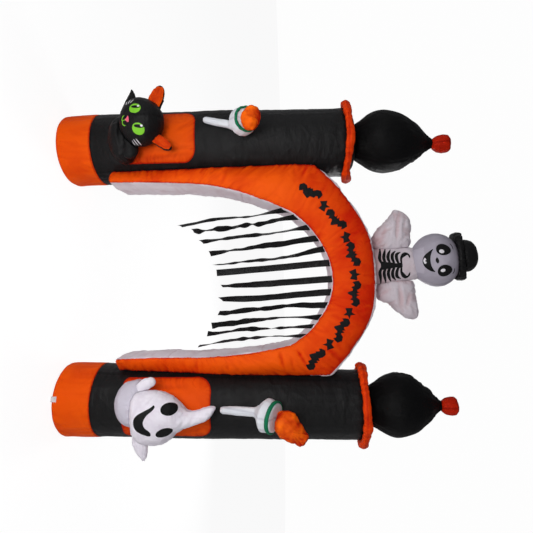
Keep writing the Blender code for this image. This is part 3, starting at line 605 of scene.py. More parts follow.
# %% Foot bands
def make_foot(side, column, seed):
    r, top = column["foot_r"], column["seam_z"] - 0.0004
    rim = [(r - 0.055, 0.0), (r - 0.022, 0.0), (r - 0.008, 0.004), (r - 0.001, 0.016), (r + 0.002, 0.045)]
    profile = through(rim + [(r + 0.003, top * 0.62), (r + 0.001, top - 0.012), (r - 0.001, top)], 60)
    grid, around, _ = turned_grid(profile, COLUMN_AROUND, 44, lambda z: axis_x(column, z))
    z = np.maximum(grid[..., 2], 0)
    grid[..., 2] = z
    under = top - z
    relief = beside_seam(under, around, seed, 0.055, 0.017, 0.0026)
    lower = np.exp(-((z - 0.012) / 0.045) ** 2)
    relief += 0.0035 * lower * fold_at(around / 0.075, z / 0.3, seed, seed + 1)
    relief += 0.0022 * noise_at(around / 0.16, z / 0.14, 1.1, seed + 2)
    relief += 0.0014 * fold_at(around / 0.035, z / 0.22, 5.1, seed + 3)
    back = np.abs(around - math.pi * r * 0.5)
    relief += beside_seam(back, z, seed + 8, 0.05, 0.016, 0.0020)
    lift = np.clip((z - 0.002) / 0.02, 0, 1)
    mesh = skin("foot", grid)
    push(mesh, with_ends(relief * lift - 0.0008, mesh))
    points = corners_of(mesh)
    points[:, 2] = np.clip(points[:, 2], 0, top)
    move_to(mesh, points)
    seam = np.maximum(near_seam(under, 0.008), near_seam(back))
    # Painted shade along the seams and along the ground line, in the troughs, and a little painted highlight on
    # ridges.
    paint(mesh, "seam", with_ends(np.maximum(seam, 0.5 * near_seam(z, 0.012)), mesh))
    paint(mesh, "painted_light_and_shade", with_ends(np.clip(-relief * 90, -0.1, 0.5), mesh))
    return piece(f"foot_band_{side}", mesh, ORANGE, "orange_cloth", f"base_{side}")


FEET = {side: make_foot(side, column, 120 + 20 * n) for n, (side, column) in enumerate(COLUMNS.items())}

# %% [markdown]
# The bulb is sewn from two wide halves with a seam on each side and one behind, so its outline is
# knobbly where the seams run and smooth in between. It is drawn together at the neck and at the tip,
# where all the cloth's fullness gathers into folds.


# %% Bulbs
# how far up from the neck to the widest place, or from there to the tip, and the share of the full radius
BULB_BELOW = ((0.28, 0.735), (0.48, 0.86), (0.72, 0.96))
BULB_ABOVE = ((0.0, 1.0), (0.25, 0.93), (0.42, 0.82), (0.56, 0.68), (0.71, 0.51), (0.86, 0.27))


def make_bulb(side, column, seed):
    low, wide, top, r = column["neck_z"] + 0.0004, column["bulb_z"], column["bulb_top"], column["bulb_r"]
    below = [(NECK_RADIUS, low)] + [(r * share, low + (wide - low) * up) for up, share in BULB_BELOW]
    above = [(r * share, wide + (top - wide) * up) for up, share in BULB_ABOVE]
    above += [(0.030, top - 0.012), (0.028, top)]

    def centre(z):
        share = np.clip((z - low) / (top - low), 0, 1)
        return axis_x(column, low) + column["lean"] * share**2

    grid, around, up = turned_grid(through(below + above, 90), 240, 110, centre)
    z = grid[..., 2]
    radius = np.hypot(grid[..., 0] - centre(z), grid[..., 1] - MID_Y)
    angle = around / radius
    relief = np.zeros(z.shape)
    seam = np.zeros(z.shape)
    higher = np.clip((z - low) / (top - low), 0, 1)
    for n, line in enumerate((0.0, math.pi, math.pi / 2)):
        apart = radius * round_gap(angle, line)
        strength = 0.45 + 0.75 * higher
        relief += strength * beside_seam(apart, up, seed + n, 0.05, 0.021, 0.0042)
        seam = np.maximum(seam, near_seam(apart, 0.007))
    for end in (low, top - 0.012):
        gather = np.exp(-np.abs(z - end) / 0.07)
        relief += 0.0030 * gather * fold_at(angle * 3.2, up / 0.4, seed, seed + 4) * np.clip(radius / 0.08,
                                                                                             0.25, 1)
    relief += 0.0035 * noise_at(angle * 1.3, up / 0.13, 2.0, seed + 5)
    relief += 0.0045 * higher * noise_at(angle * 2.6, up / 0.055, 6.0, seed + 7)
    relief += 0.0008 * fold_at(angle * 6, up / 0.11, 8.0, seed + 6)
    mesh = skin("bulb", grid)
    push(mesh, with_ends(relief * np.clip((z - low) / 0.012, 0, 1) - 0.0008, mesh))
    points = corners_of(mesh)
    points[:, 2] = np.clip(points[:, 2], low, top)
    move_to(mesh, points)
    paint(mesh, "seam", with_ends(seam, mesh))
    # Painted shade in the troughs, and more of it towards the bulb's top.
    paint(mesh, "painted_light_and_shade", with_ends(np.clip(-relief * 90, -0.15, 0.5) + 0.25 + 0.55 * higher, mesh))
    return piece(f"onion_bulb_{side}", mesh, SHADED_BLACK, "black_cloth", f"bulb_{side}")


BULBS = {side: make_bulb(side, column, 200 + 20 * n) for n, (side, column) in enumerate(COLUMNS.items())}

# %% [markdown]
# ## The arch
# One long air chamber runs over the walkway. Its section has four seams: two at the walkway and two
# outside. The panels between them bow out with the air. The front panel is orange, and the soffit, the
# back and the outer side are white. Its line was drawn as stations from the left foot over the crown to
# the right foot: the inner seam's x and z, the outer seam's, and how far the outer seam stands from the
# middle plane.

# %% Arch stations
ARCH_ROWS = (
    (-0.594, 0.350, -0.674, 0.345, 0.142), (-0.585, 0.620, -0.676, 0.640, 0.142),
    (-0.566, 0.930, -0.680, 0.970, 0.142), (-0.528, 1.135, -0.682, 1.270, 0.142),
    (-0.458, 1.345, -0.683, 1.520, 0.144), (-0.386, 1.505, -0.677, 1.652, 0.147),
    (-0.364, 1.545, -0.668, 1.690, 0.148), (-0.340, 1.575, -0.636, 1.724, 0.150),
    (-0.252, 1.664, -0.510, 1.842, 0.160), (-0.104, 1.755, -0.240, 2.006, 0.170),
    (0.064, 1.791, 0.045, 2.048, 0.174), (0.218, 1.758, 0.290, 2.020, 0.170),
    (0.360, 1.664, 0.500, 1.898, 0.160), (0.446, 1.562, 0.628, 1.792, 0.146),
    (0.466, 1.530, 0.654, 1.764, 0.142), (0.476, 1.500, 0.660, 1.722, 0.139),
    (0.507, 1.340, 0.664, 1.560, 0.126), (0.532, 1.150, 0.664, 1.270, 0.126),
    (0.545, 0.960, 0.657, 1.000, 0.126), (0.546, 0.700, 0.645, 0.720, 0.122),
    (0.556, 0.400, 0.634, 0.396, 0.116),
)
HALF_DEPTH = 0.18
ARCH_COUNT = 400


def arch_stations(count):
    """Inner seam point, outward way, width, outer seam's y and run along the outer seam, at each station."""
    rows = through(ARCH_ROWS, count)
    middle = np.stack(((rows[:, 0] + rows[:, 2]) / 2, (rows[:, 1] + rows[:, 3]) / 2), axis=1)
    steps = np.linalg.norm(np.diff(middle, axis=0), axis=1)
    run = np.concatenate(([0], np.cumsum(steps)))
    place = np.linspace(0, run[-1], count)
    rows = np.stack([np.interp(place, run, rows[:, n]) for n in range(5)], axis=1)
    inner = np.stack((rows[:, 0], np.zeros(count), rows[:, 1]), axis=1)
    outer = np.stack((rows[:, 2], np.zeros(count), rows[:, 3]), axis=1)
    way = outer - inner
    width = np.linalg.norm(way, axis=1)
    return inner, way / width[:, None], width, rows[:, 4], place


def arch_grid(section, count):
    """Sweeps a section, a function of (width, seam_y) that gives (share out, y) points, along the arch."""
    inner, way, width, seam_y, run = arch_stations(count)
    grid = []
    for n in range(count):
        s, y = section(width[n], seam_y[n])
        grid.append(inner[n] + way[n] * s[:, None] + np.stack((0 * y, y + MID_Y, 0 * y), axis=1))
    return np.array(grid), run, width


# %% [markdown]
# Neighbours press against each other and don't pass through. Any corner of a piece that lies inside its
# neighbour is moved out to the neighbour's skin, with a paper's thickness left between them.


# %% Pressing pieces together
def tree_of(mesh):
    return BVHTree.FromPolygons([tuple(v.co) for v in mesh.vertices],
                                [tuple(p.vertices) for p in mesh.polygons])


def press_against(mesh, *neighbours, gap=0.0007):
    points = corners_of(mesh)
    for neighbour in neighbours:
        other = neighbour.data
        reach = corners_of(other)
        low, high = reach.min(axis=0) - 0.002, reach.max(axis=0) + 0.002
        tree = tree_of(other)
        near = np.nonzero(np.all((points > low) & (points < high), axis=1))[0]
        for n in near:
            here = Vector(points[n])
            spot, way, _, far = tree.find_nearest(here)
            if (here - spot).dot(way) < gap:
                points[n] = spot + way * gap
    move_to(mesh, points)


# %% [markdown]
# The arch's chamber. Round each section the points run along the soffit, up the back, over the outer
# side and down behind the front panel. Each panel keeps its own distance to its nearest seam, so the
# folds start at all four seams at once.


# %% The chamber
def chamber_section(width, seam_y):
    """(out, y) round the section: soffit, back, outer side, and the flat behind the front panel."""
    t = np.linspace(0, 1, 32, endpoint=False)
    soffit = np.stack((-0.016 * 4 * t * (1 - t), HALF_DEPTH * (2 * t - 1)), axis=1)
    t = np.linspace(0, 1, 20, endpoint=False)
    bow = 0.028 * min(width / 0.2, 1) * 4 * t * (1 - t)
    back = np.stack((width * t, HALF_DEPTH + (seam_y - HALF_DEPTH) * t + bow), axis=1)
    t = np.linspace(0, 1, 30, endpoint=False)
    outer = np.stack((width + 0.024 * 4 * t * (1 - t), seam_y * (1 - 2 * t)), axis=1)
    t = np.linspace(0, 1, 8, endpoint=False)
    front = np.stack((width * (1 - t), -seam_y + (seam_y - HALF_DEPTH) * t), axis=1)
    ring = np.concatenate((soffit, back, outer, front))
    return ring[:, 0], ring[:, 1]


SECTION_CORNERS = (0, 32, 52, 82, 90)


def make_chamber():
    grid, run, _ = arch_grid(chamber_section, ARCH_COUNT)
    _, way, _, _, _ = arch_stations(ARCH_COUNT)
    lip = 0.008 * np.clip((grid[:, 81, 2] - 1.70) / 0.05, 0,
                          1) * (1 + 0.35 * noise_at(run / 0.06, 0.5, 1.5, 340))
    for k in range(72, 82):
        grid[:, k] += way * (lip * math.exp(-((81 - k) / 4.0) ** 2))[:, None]
    steps = np.linalg.norm(np.roll(grid, -1, axis=1) - grid, axis=2)
    place = np.concatenate((np.zeros((len(grid), 1)), np.cumsum(steps, axis=1)), axis=1)
    along = run[:, None] * np.ones(grid.shape[1])
    relief = np.zeros(along.shape)
    seam = np.zeros(along.shape)
    for n, corner in enumerate(SECTION_CORNERS):
        apart = np.abs(place[:, :-1] - place[:, corner][:, None])
        if corner in (0, 90):
            apart = np.minimum(apart, place[:, -1][:, None] - place[:, :-1])
        if n < 4:
            relief += beside_seam(apart, along, 300 + n, 0.06, 0.019, 0.0040, 0.0012)
            seam = np.maximum(seam, near_seam(apart, 0.007))
    for n, joint in enumerate((0.95, 2.02, 2.74, 3.45)):
        apart = np.abs(along - joint)
        relief += beside_seam(apart, place[:, :-1], 320 + n, 0.05, 0.017, 0.0020)
        seam = np.maximum(seam, near_seam(apart, 0.006))
    relief += 0.0045 * noise_at(along / 0.11, place[:, :-1] / 0.10, 3.0, 330)
    relief += 0.0018 * fold_at(along / 0.045, place[:, :-1] / 0.11, 3.0, 331)
    on_tube = (grid[:, 81, 2] < 1.62)[:,
                                      None] & ((np.arange(grid.shape[1]) >= 76) & (np.arange(grid.shape[1]) < 83))[None, :]
    relief = np.where(on_tube, np.minimum(relief, -0.0030), relief)
    behind = np.arange(grid.shape[1]) >= 83
    relief[:, behind] = -0.002
    mesh = skin("chamber", grid)
    push(mesh, with_ends(relief - 0.0006, mesh))
    press_against(mesh, *TUBES.values())
    paint(mesh, "seam", with_ends(seam, mesh))
    # Painted shade in the relief's troughs, and a little painted highlight on its ridges.
    paint(mesh, "painted_light_and_shade", with_ends(np.clip(-relief * 80, -0.1, 0.5), mesh))
    return piece("arch_chamber", mesh, WHITE, "white_cloth", "arch_body")


CHAMBER = make_chamber()

# %% [markdown]
# The orange front panel bows out between the two front seams. It has painted shade along its seams and
# towards the crown, and a pair of deep creases crosses it where the arch turns into the right leg.

# %% The front panel
FRONT_CREASES = (
    ((0.488, 1.555), (0.592, 1.618), 0.0085, 0.010), ((0.500, 1.452), (0.622, 1.480), 0.0080, 0.010),
    ((0.540, 1.520), (0.640, 1.540), 0.0045, 0.009), ((0.047, 2.040), (0.026, 1.830), 0.0022, 0.006),
    ((-0.668, 1.640), (-0.570, 1.602), 0.0040, 0.010), ((-0.672, 1.560), (-0.600, 1.560), 0.0030, 0.010),
    ((0.590, 1.120), (0.655, 1.128), 0.0040, 0.009), ((0.548, 0.930), (0.640, 0.922), 0.0040, 0.010),
    ((-0.676, 1.130), (-0.560, 1.105), 0.0030, 0.010), ((-0.676, 0.800), (-0.590, 0.790), 0.0032, 0.009),
    ((0.560, 0.560), (0.636, 0.575), 0.0030, 0.009), ((-0.420, 1.760), (-0.360, 1.660), 0.0025, 0.011),
    ((0.330, 1.880), (0.285, 1.780), 0.0025, 0.011), ((0.560, 1.840), (0.470, 1.720), 0.0035, 0.011),
)


def front_section(width, seam_y):
    t = np.linspace(0, 1, 46)
    crown = min(0.20 * width, 0.042)
    line = -(HALF_DEPTH + (seam_y - HALF_DEPTH) * t) - 0.0004
    bow = 0.0025 + crown * (4 * t * (1 - t)) ** 0.92
    t_back = np.linspace(1, 0, 6)
    behind = -(HALF_DEPTH + (seam_y - HALF_DEPTH) * t_back) - 0.0004
    return np.concatenate((width * t, width * t_back)), np.concatenate((line - bow, behind))


def make_front():
    grid, run, width = arch_grid(front_section, ARCH_COUNT)
    along = run[:, None] * np.ones(grid.shape[1])
    share = np.concatenate((np.linspace(0, 1, 46), np.linspace(1, 0, 6)))
    inner = share * width[:, None]
    outer = (1 - share) * width[:, None]
    relief = beside_seam(inner, along, 350, 0.050, 0.018, 0.0034)
    relief += beside_seam(outer, along, 351, 0.065, 0.017, 0.0046)
    for foot in (0.0, run[-1]):
        relief += beside_seam(np.abs(along - foot), inner, 352, 0.05, 0.015, 0.0030)
    relief += 0.0028 * noise_at(along / 0.15, inner / 0.12, 3.0, 353)
    relief += 0.0014 * fold_at(along / 0.030, inner / 0.12, 3.0, 354)
    relief = relief * (np.arange(52) < 46)
    mesh = skin("front", grid)
    whole = with_ends(relief, mesh)
    shown = with_ends(1.0 * (np.arange(52) < 46) * np.ones(along.shape), mesh)
    whole = whole + creases(corners_of(mesh), FRONT_CREASES) * shown
    push(mesh, whole - 0.0004)
    press_against(mesh, *TUBES.values(), CHAMBER)
    paint(mesh, "seam", with_ends(np.maximum(near_seam(inner, 0.007), near_seam(outer, 0.008)), mesh))
    # Painted shade: redder near the outer seam, a little near the inner one, and towards the crown.
    red = 0.45 * np.exp(-outer / 0.035) + 0.10 * np.exp(-inner / 0.02)
    red = red + 0.55 * np.clip((grid[..., 2] - 1.45) / 0.45, 0, 1)
    paint(mesh, "painted_light_and_shade", np.clip(-whole * 90, -0.15, 0.7) + with_ends(red, mesh))
    return piece("arch_front_panel", mesh, ORANGE, "orange_cloth", "arch_front")


FRONT = make_front()
print("arch:", len(CHAMBER.data.polygons), "and", len(FRONT.data.polygons), "faces")

# %% [markdown]
# ## The curtain
# Twelve ribbons of black nylon hang from the front edge of the soffit. Thin cloth with a raw edge curls
# and turns on itself, so each one shows its full width in some places and almost none in others. Each
# ribbon is a strip of fine rows. Its middle line and its turning were drawn from top to bottom, and a
# little noise adds the small kinks. The ends were cut one by one, so no two are alike.

# %% Ribbons
RIBBON_WIDTH = 0.042
RIBBON_CLOTH = 0.0008
# top z, end z, across at four levels, turned out of the plane at six levels (degrees), crinkle, slant of the end
RIBBONS = (
    (1.516, 0.800, (-0.387, -0.350, -0.335, -0.298), (40, 80, 85, 75, 80, 86), 0.6, 0.020),
    (1.594, 0.892, (-0.341, -0.305, -0.280, -0.260), (25, 70, 60, 60, 65, 50), 2.2, 0.010),
    (1.677, 0.944, (-0.273, -0.240, -0.218, -0.189), (25, 80, 80, 65, 75, 65), 0.8, 0.022),
    (1.715, 1.004, (-0.200, -0.170, -0.142, -0.116), (25, 40, 30, 65, 80, 40), 1.0, 0.008),
    (1.748, 1.031, (-0.131, -0.083, -0.062, -0.040), (25, 55, 75, 65, 80, 85), 0.9, 0.010),
    (1.768, 1.054, (-0.041, -0.024, -0.006, 0.010), (2, 14, 4, 15, 6, 12), 0.25, 0.002),
    (1.788, 1.081, (0.060, 0.074, 0.088, 0.096), (3, 6, 17, 17, 40, 72), 0.4, 0.006),
    (1.782, 1.064, (0.142, 0.158, 0.176, 0.180), (4, 17, 21, 25, 20, 55), 0.4, 0.026),
    (1.774, 1.057, (0.224, 0.225, 0.246, 0.269), (20, 35, 55, 50, 40, 55), 1.0, -0.020),
    (1.724, 1.017, (0.299, 0.299, 0.319, 0.346), (25, 70, 70, 45, 35, 25), 0.9, 0.004),
    (1.672, 0.983, (0.354, 0.364, 0.373, 0.400), (45, 65, 70, 50, 70, 45), 1.2, -0.012),
    (1.597, 0.925, (0.414, 0.419, 0.439, 0.474), (50, 75, 70, 60, 70, 70), 0.9, -0.024),
)
SOFFIT_LINE = through(ARCH_ROWS, 200)[:, :2]


def soffit_z(x):
    return np.interp(x, SOFFIT_LINE[:, 0], SOFFIT_LINE[:, 1])


def make_ribbon(number, row):
    top, end, across, turns, crinkle, slant = row
    rows, columns = 108, 9
    share = np.linspace(0, 1, rows)
    x = through([(value,) for value in across], rows)[:, 0]
    turn = np.radians(through([(value,) for value in turns], rows)[:, 0])
    loose = np.clip(share * 2.5, 0, 1)
    turn = turn + crinkle * loose * 0.30 * noise_at(share * 16, number, 0.5, 60)
    x = x + crinkle * loose * 0.0035 * noise_at(share * 13, number, 2.5, 61)
    y = MID_Y - 0.158 + 0.010 * np.sin(1.7 * math.pi * share + 2 * number) * share
    y = y + crinkle * loose * 0.0040 * noise_at(share * 11, number, 4.5, 62)
    points = []
    for n in range(rows):
        u = np.linspace(-0.5, 0.5, columns)
        cup = (0.0020 + 0.0035 * crinkle * noise_at(share[n] * 20, number, 6.5, 63)) * (1 - 4 * u**2)
        wave = 0.0012 * crinkle * loose[n] * noise_at(u * 3, share[n] * 34, number, 64)
        out = cup + wave
        c, s = math.cos(turn[n]), math.sin(turn[n])
        cut = slant * (u + 0.5 if slant > 0 else u - 0.5) * max(share[n] - 0.93, 0) / 0.07
        z = top + (end - top) * share[n] + cut
        px = x[n] + u * RIBBON_WIDTH * c - out * s
        if n == 0:
            z = soffit_z(px) - 0.001 + 0 * u
        points.append(np.stack((px, y[n] + u * RIBBON_WIDTH * s + out * c, z), axis=1))
    points = np.array(points)
    index = np.arange(rows * columns).reshape(rows, columns)
    quads = np.stack((index[:-1, :-1], index[:-1, 1:], index[1:, 1:], index[1:, :-1]), axis=-1).reshape(-1, 4)
    mesh = bpy.data.meshes.new("ribbon")
    mesh.from_pydata(points.reshape(-1, 3).tolist(), [], quads.tolist())
    mesh.shade_smooth()
    edge = np.abs(np.linspace(-1, 1, columns))[None, :] * np.ones((rows, 1))
    paint(mesh, "seam", (0.5 * near_seam(1 - edge, 0.3)).reshape(-1))
    made = piece(f"ribbon_{number:02d}", mesh, BLACK, "black_cloth", f"streamer_{number:02d}")
    wall = made.modifiers.new("cloth", "SOLIDIFY")
    wall.thickness = RIBBON_CLOTH
    wall.offset = 0
    return made


RIBBON_PIECES = [make_ribbon(number, row) for number, row in enumerate(RIBBONS, start=1)]
print("ribbons:", len(RIBBON_PIECES))

# %% [markdown]
# ## Small air-filled pieces
# The figures, the torches, the collars and the knobs start from their own solids. A copy is remeshed
# into even faces and smoothed, which takes the facets away. Then Blender's cloth is blown up from inside
# for twelve frames, and each corner is kept within a few millimetres of where it began, so that the piece
# rounds itself out and stays in its place. One subdivision makes it finer. Seams and their folds come
# last, because remeshing would lose them. Small stiff pieces skip the air.


# %% Inflating a copy of a solid
def applied(obj):
    """The object's mesh with its modifiers applied. The modifiers are then removed."""
    bpy.context.view_layer.update()
    graph = bpy.context.evaluated_depsgraph_get()
    mesh = bpy.data.meshes.new_from_object(obj.evaluated_get(graph))
    obj.modifiers.clear()
    obj.data = mesh
    return mesh


def blow_up(obj, most, frames=12):
    """Twelve frames of cloth with air pressure, each corner kept within `most` metres of its start."""
    start = corners_of(obj.data)
    cloth = obj.modifiers.new("air", "CLOTH")
    cloth.settings.use_pressure = True
    cloth.settings.uniform_pressure_force = 4.0
    cloth.settings.effector_weights.gravity = 0.0
    cloth.settings.quality = 4
    cloth.point_cache.frame_start = 1
    cloth.point_cache.frame_end = frames
    for step in range(1, frames + 1):
        SCENE.frame_set(step)
    mesh = applied(obj)
    SCENE.frame_set(1)
    moved = corners_of(mesh) - start
    length = np.linalg.norm(moved, axis=1)
    held = np.minimum(1.0, most / np.maximum(length, 1e-9))
    move_to(mesh, start + moved * held[:, None])
    return mesh


def soft_form(node, voxel, rounds, most):
    """A rounded mesh of a CAD solid. Where `most` isn't 0, it is also blown up, and made finer after that."""
    bm = bmesh.new()
    bm.from_mesh(NODES[node].data)
    bmesh.ops.remove_doubles(bm, verts=bm.verts, dist=0.0001)
    mesh = bpy.data.meshes.new(node + "_soft")
    bm.to_mesh(mesh)
    bm.free()
    obj = bpy.data.objects.new(node + "_soft", mesh)
    SCENE.collection.objects.link(obj)
    remesh = obj.modifiers.new("even", "REMESH")
    remesh.mode = "VOXEL"
    remesh.voxel_size = voxel
    applied(obj)
    smooth = obj.modifiers.new("round", "SMOOTH")
    smooth.factor = 0.5
    smooth.iterations = rounds
    mesh = applied(obj)
    if most:
        blow_up(obj, most)
        finer = obj.modifiers.new("finer", "SUBSURF")
        finer.levels = 1
        finer.render_levels = 1
        mesh = applied(obj)
    bpy.data.objects.remove(obj)
    face_out(mesh)
    return mesh


def plane_seam(points, at, way):
    """How far each point is from a seam that lies in a plane, and how far round it."""
    way = Vector(way).normalized()
    first = way.orthogonal().normalized()
    second = way.cross(first)
    from_middle = points - np.array(at)
    apart = np.abs(from_middle @ np.array(way))
    flat_x, flat_y = from_middle @ np.array(first), from_middle @ np.array(second)
    radius = np.hypot(flat_x, flat_y)
    return apart, np.arctan2(flat_y, flat_x) * np.median(radius)


def soft_piece(name, node, finish, slot, seams=(), lines=(), against=(), voxel=0.0108, rounds=4, most=0.007,
               depth=0.0020, width=0.013, reach=0.035, billow=0.0018, fine=0.0005, seed=1,
               reshape=None,
               shade=None):
    """An air-filled piece from a CAD solid. seams are planes (point, normal), and lines are creases."""
    mesh = soft_form(node, voxel, rounds, most)
    if reshape:
        move_to(mesh, reshape(corners_of(mesh)))
    points = corners_of(mesh)
    relief = np.zeros(len(points))
    seam = np.zeros(len(points))
    for n, (at, way) in enumerate(seams):
        apart, along = plane_seam(points, (at[0], at[1] + MID_Y, at[2]), way)
        relief += beside_seam(apart, along, seed + n, reach, width, depth, 0.0012)
        seam = np.maximum(seam, near_seam(apart, 0.006))
    x, y, z = points.T
    relief += billow * noise_at(x / 0.06, y / 0.06, z / 0.06, seed + 7)
    relief += fine * fold_at(x / 0.022, y / 0.022, z / 0.022, seed + 8)
    if lines:
        facing = np.clip(-normals_of(mesh)[:, 1] * 2.5, 0, 1)
        relief += creases(points, lines) * facing
    push(mesh, relief)
    press_against(mesh, *against)
    points = corners_of(mesh)
    points[:, 2] = np.maximum(points[:, 2], 0.0005)
    move_to(mesh, points)
    paint(mesh, "seam", seam)
    # Painted shade in the troughs, painted highlight on ridges, and the piece's own painted light and shade.
    shaded = shade(points) if shade else 0
    paint(mesh, "painted_light_and_shade", np.clip(-relief * 100, -0.15, 0.5) + shaded)
    made = piece(name, mesh, finish, slot, node)
    return made


# %% [markdown]
# The stuffed ring below each bulb was gathered on a cord, so it waves and swells, and its ends at the two
# side seams stand out like small fins. The knob on the tip is a small bag tied off at its neck.

# %% Collars and knobs
def finned(centre_x, middle, seed, fin=0.003, wave=0.007):
    """Gives a ring its waves, and draws it out where the bulb's side seams end on it."""
    def moved(points):
        angle = np.arctan2(points[:, 1] - MID_Y, points[:, 0] - centre_x)
        radius = np.hypot(points[:, 0] - centre_x, points[:, 1] - MID_Y)
        outer = np.clip((radius - 0.195) / 0.05, 0, 1)
        side = np.abs(np.cos(angle)) ** 14
        points = points.copy()
        for axis, part in ((0, np.cos(angle)), (1, np.sin(angle))):
            points[:, axis] += part * outer * (fin * side + 0.6 * wave * noise_at(angle * 3.4, seed, 0.5,
                                                                                  seed))
        points[:, 2] += wave * noise_at(angle * 2.6, seed, 3.5, seed + 1) * outer
        points[:, 2] = middle + (points[:, 2] - middle) * (1 + 0.35 * side * outer)
        return points
    return moved


for n, (side, column) in enumerate(COLUMNS.items()):
    collar_x = axis_x(column, column["collar_z"])
    knob_x = axis_x(column, column["bulb_top"]) + column["lean"]
    soft_piece(
        f"stuffed_ring_{side}", f"collar_{side}", RING_RED, "ember_cloth",
        (((collar_x, 0, column["collar_z"]), (0, 0, 1)),),
        against=(TUBES[side], BULBS[side]), voxel=0.0072, rounds=3, most=0, depth=0.0050, width=0.020,
        reach=0.05,
        billow=0.0040, seed=400 + 20 * n, reshape=finned(collar_x, column["collar_z"], 410 + 20 * n))
    soft_piece(
        f"tip_bag_{side}", f"knob_{side}", EMBER, "ember_cloth",
        (((knob_x, 0, column["knob_top"]), (1, 0, 0.05)), ((knob_x, 0, column["knob_top"]), (0, 1, 0))),
        against=(BULBS[side],), voxel=0.0048, rounds=2, most=0, depth=0.0022, width=0.016, reach=0.03,
        billow=0.0045, fine=0.0001, seed=440 + 20 * n)

# %% [markdown]
# ## The torches
# A white handle opens into a cup with a green band, and a crumpled bag of bright orange is the flame. The
# band is a soft ring of its own round the cup's rim, with a scalloped edge. The flame has painted shade
# towards its outline, so it is red there and orange in the middle.

# %% Torches
def flame_red(centre, way, half):
    """Painted shade: deeper dye away from the flame's middle, seen from in front, with random streaks."""
    def shade(points):
        apart = np.hypot((points[:, 0] - centre[0]) / half[0], (points[:, 2] - centre[1]) / half[1])
        streak = 0.22 * noise_at(points[:, 0] / 0.016, points[:, 1] / 0.05, points[:, 2] / 0.020, way)
        return np.clip(0.60 * (apart - 0.40), -0.2, 0.6) + streak
    return shade


def rounder_bowl(back, mouth, more=0.20):
    """Fills out the lower half of a cup, so that it is a bowl on its handle and not a cone."""
    def moved(points):
        start = np.array(back) + (0, MID_Y, 0)
        way = np.array(mouth) - np.array(back)
        length = np.linalg.norm(way)
        axis = way / length
        from_start = points - start
        share = from_start @ axis / length
        swell = more * np.sin(math.pi * np.clip((share + 0.12) / 0.84, 0, 1))
        return points + (from_start - np.outer(from_start @ axis, axis)) * swell[:, None]
    return moved


CUPS = {
    "left": soft_piece("torch_cup_left", "torch_left_holder", CUP_WHITE, "white_cloth",
                       (((-0.900, -0.300, 1.240), (1, 0, 0)),), against=(TUBES["left"],), voxel=0.0048,
                       rounds=4,
                       most=0, seed=500, reshape=rounder_bowl((-0.906, -0.288, 1.222),
                                                              (-0.898, -0.385, 1.284), 0.12)),
    "right": soft_piece("torch_cup_right", "torch_right_holder", CUP_WHITE, "white_cloth",
                        (((0.862, -0.300, 1.350), (1, 0, -0.15)),), against=(TUBES["right"],), voxel=0.0048,
                        rounds=4,
                        most=0, seed=510, reshape=rounder_bowl((0.860, -0.278, 1.336),
                                                               (0.876, -0.322, 1.432))),
}
FLAMES = {
    "left": soft_piece("flame_left", "torch_left_flame", FLAME, "flame_cloth",
                       (((-0.885, -0.42, 1.31), (0, 1, 0.2)),), voxel=0.0054, rounds=2, most=0, depth=0.0035,
                       width=0.018, reach=0.05, billow=0.009, fine=0.0011, seed=520,
                       shade=flame_red((-0.900, 1.312), 521, (0.085, 0.062))),
    "right": soft_piece("flame_right", "torch_right_flame", FLAME, "flame_cloth",
                        (((0.930, -0.333, 1.53), (0, 1, 0)),), voxel=0.0054, rounds=2, most=0, depth=0.0035,
                        width=0.022, reach=0.05, billow=0.012, fine=0.0011, seed=530,
                        shade=flame_red((0.905, 1.500), 531, (0.105, 0.105))),
}
# how far along the cup's axis from its back, and the outer and inner share of the cup's radius
TORCH_RIMS = {
    "left": dict(back=(-0.906, -0.288, 1.222), mouth=(-0.898, -0.385, 1.284), radius=0.082,
                 section=((0.92, 0.90), (1.00, 0.94), (1.07, 0.89), (1.06, 0.80), (0.99, 0.76), (0.92, 0.80)),
                 scallops=11, depth=0.0050),
    "right": dict(back=(0.860, -0.278, 1.336), mouth=(0.876, -0.322, 1.432), radius=0.092,
                  section=((0.74, 1.02), (0.82, 1.065), (0.93, 1.050), (0.97, 0.99), (0.94, 0.955),
                           (0.82, 0.985)),
                  scallops=9, depth=0.0020),
}


def ring_skin(name, grid):
    """A mesh through a (rows, around, 3) grid that closes both ways, like a tyre."""
    rows, around, _ = grid.shape
    index = np.arange(rows * around).reshape(rows, around)
    beside, above = np.roll(index, -1, axis=1), np.roll(index, -1, axis=0)
    across = np.roll(beside, -1, axis=0)
    quads = np.stack((index, beside, across, above), axis=-1).reshape(-1, 4)
    mesh = bpy.data.meshes.new(name)
    mesh.from_pydata(grid.reshape(-1, 3).tolist(), [], quads.tolist())
    face_out(mesh)
    return mesh


def make_rim(side, row):
    back, mouth = (Vector(point) + Vector((0, MID_Y, 0)) for point in (row["back"], row["mouth"]))
    axis = (mouth - back).normalized()
    first = axis.orthogonal().normalized()
    second = axis.cross(first)
    section = through(row["section"] + row["section"][:1], 31)[:-1]
    angle = np.linspace(0, 2 * math.pi, 120, endpoint=False)[:, None]
    along = section[:, 0] * (mouth - back).length
    scallop = row["depth"] * (np.abs(np.sin(angle * row["scallops"] / 2)) - 0.6)
    radius = section[:, 1] * row["radius"] + scallop * 0.6 + 0.0012 * noise_at(angle * 4, 0.5,
                                                                               section[:, 0] * 9, 541)
    along = along + scallop * np.clip((section[:, 0] - 0.80) * 4, -1, 1)
    ring = np.array(back) + along[..., None] * np.array(axis)
    ring = ring + (radius * np.cos(angle))[..., None] * np.array(first)
    ring = ring + (radius * np.sin(angle))[..., None] * np.array(second)
    mesh = ring_skin("rim", ring)
    press_against(mesh, CUPS[side], FLAMES[side])
    made = piece(f"scalloped_rim_{side}", mesh, GREEN, "green_cloth", f"torch_{side}_band")
    return made


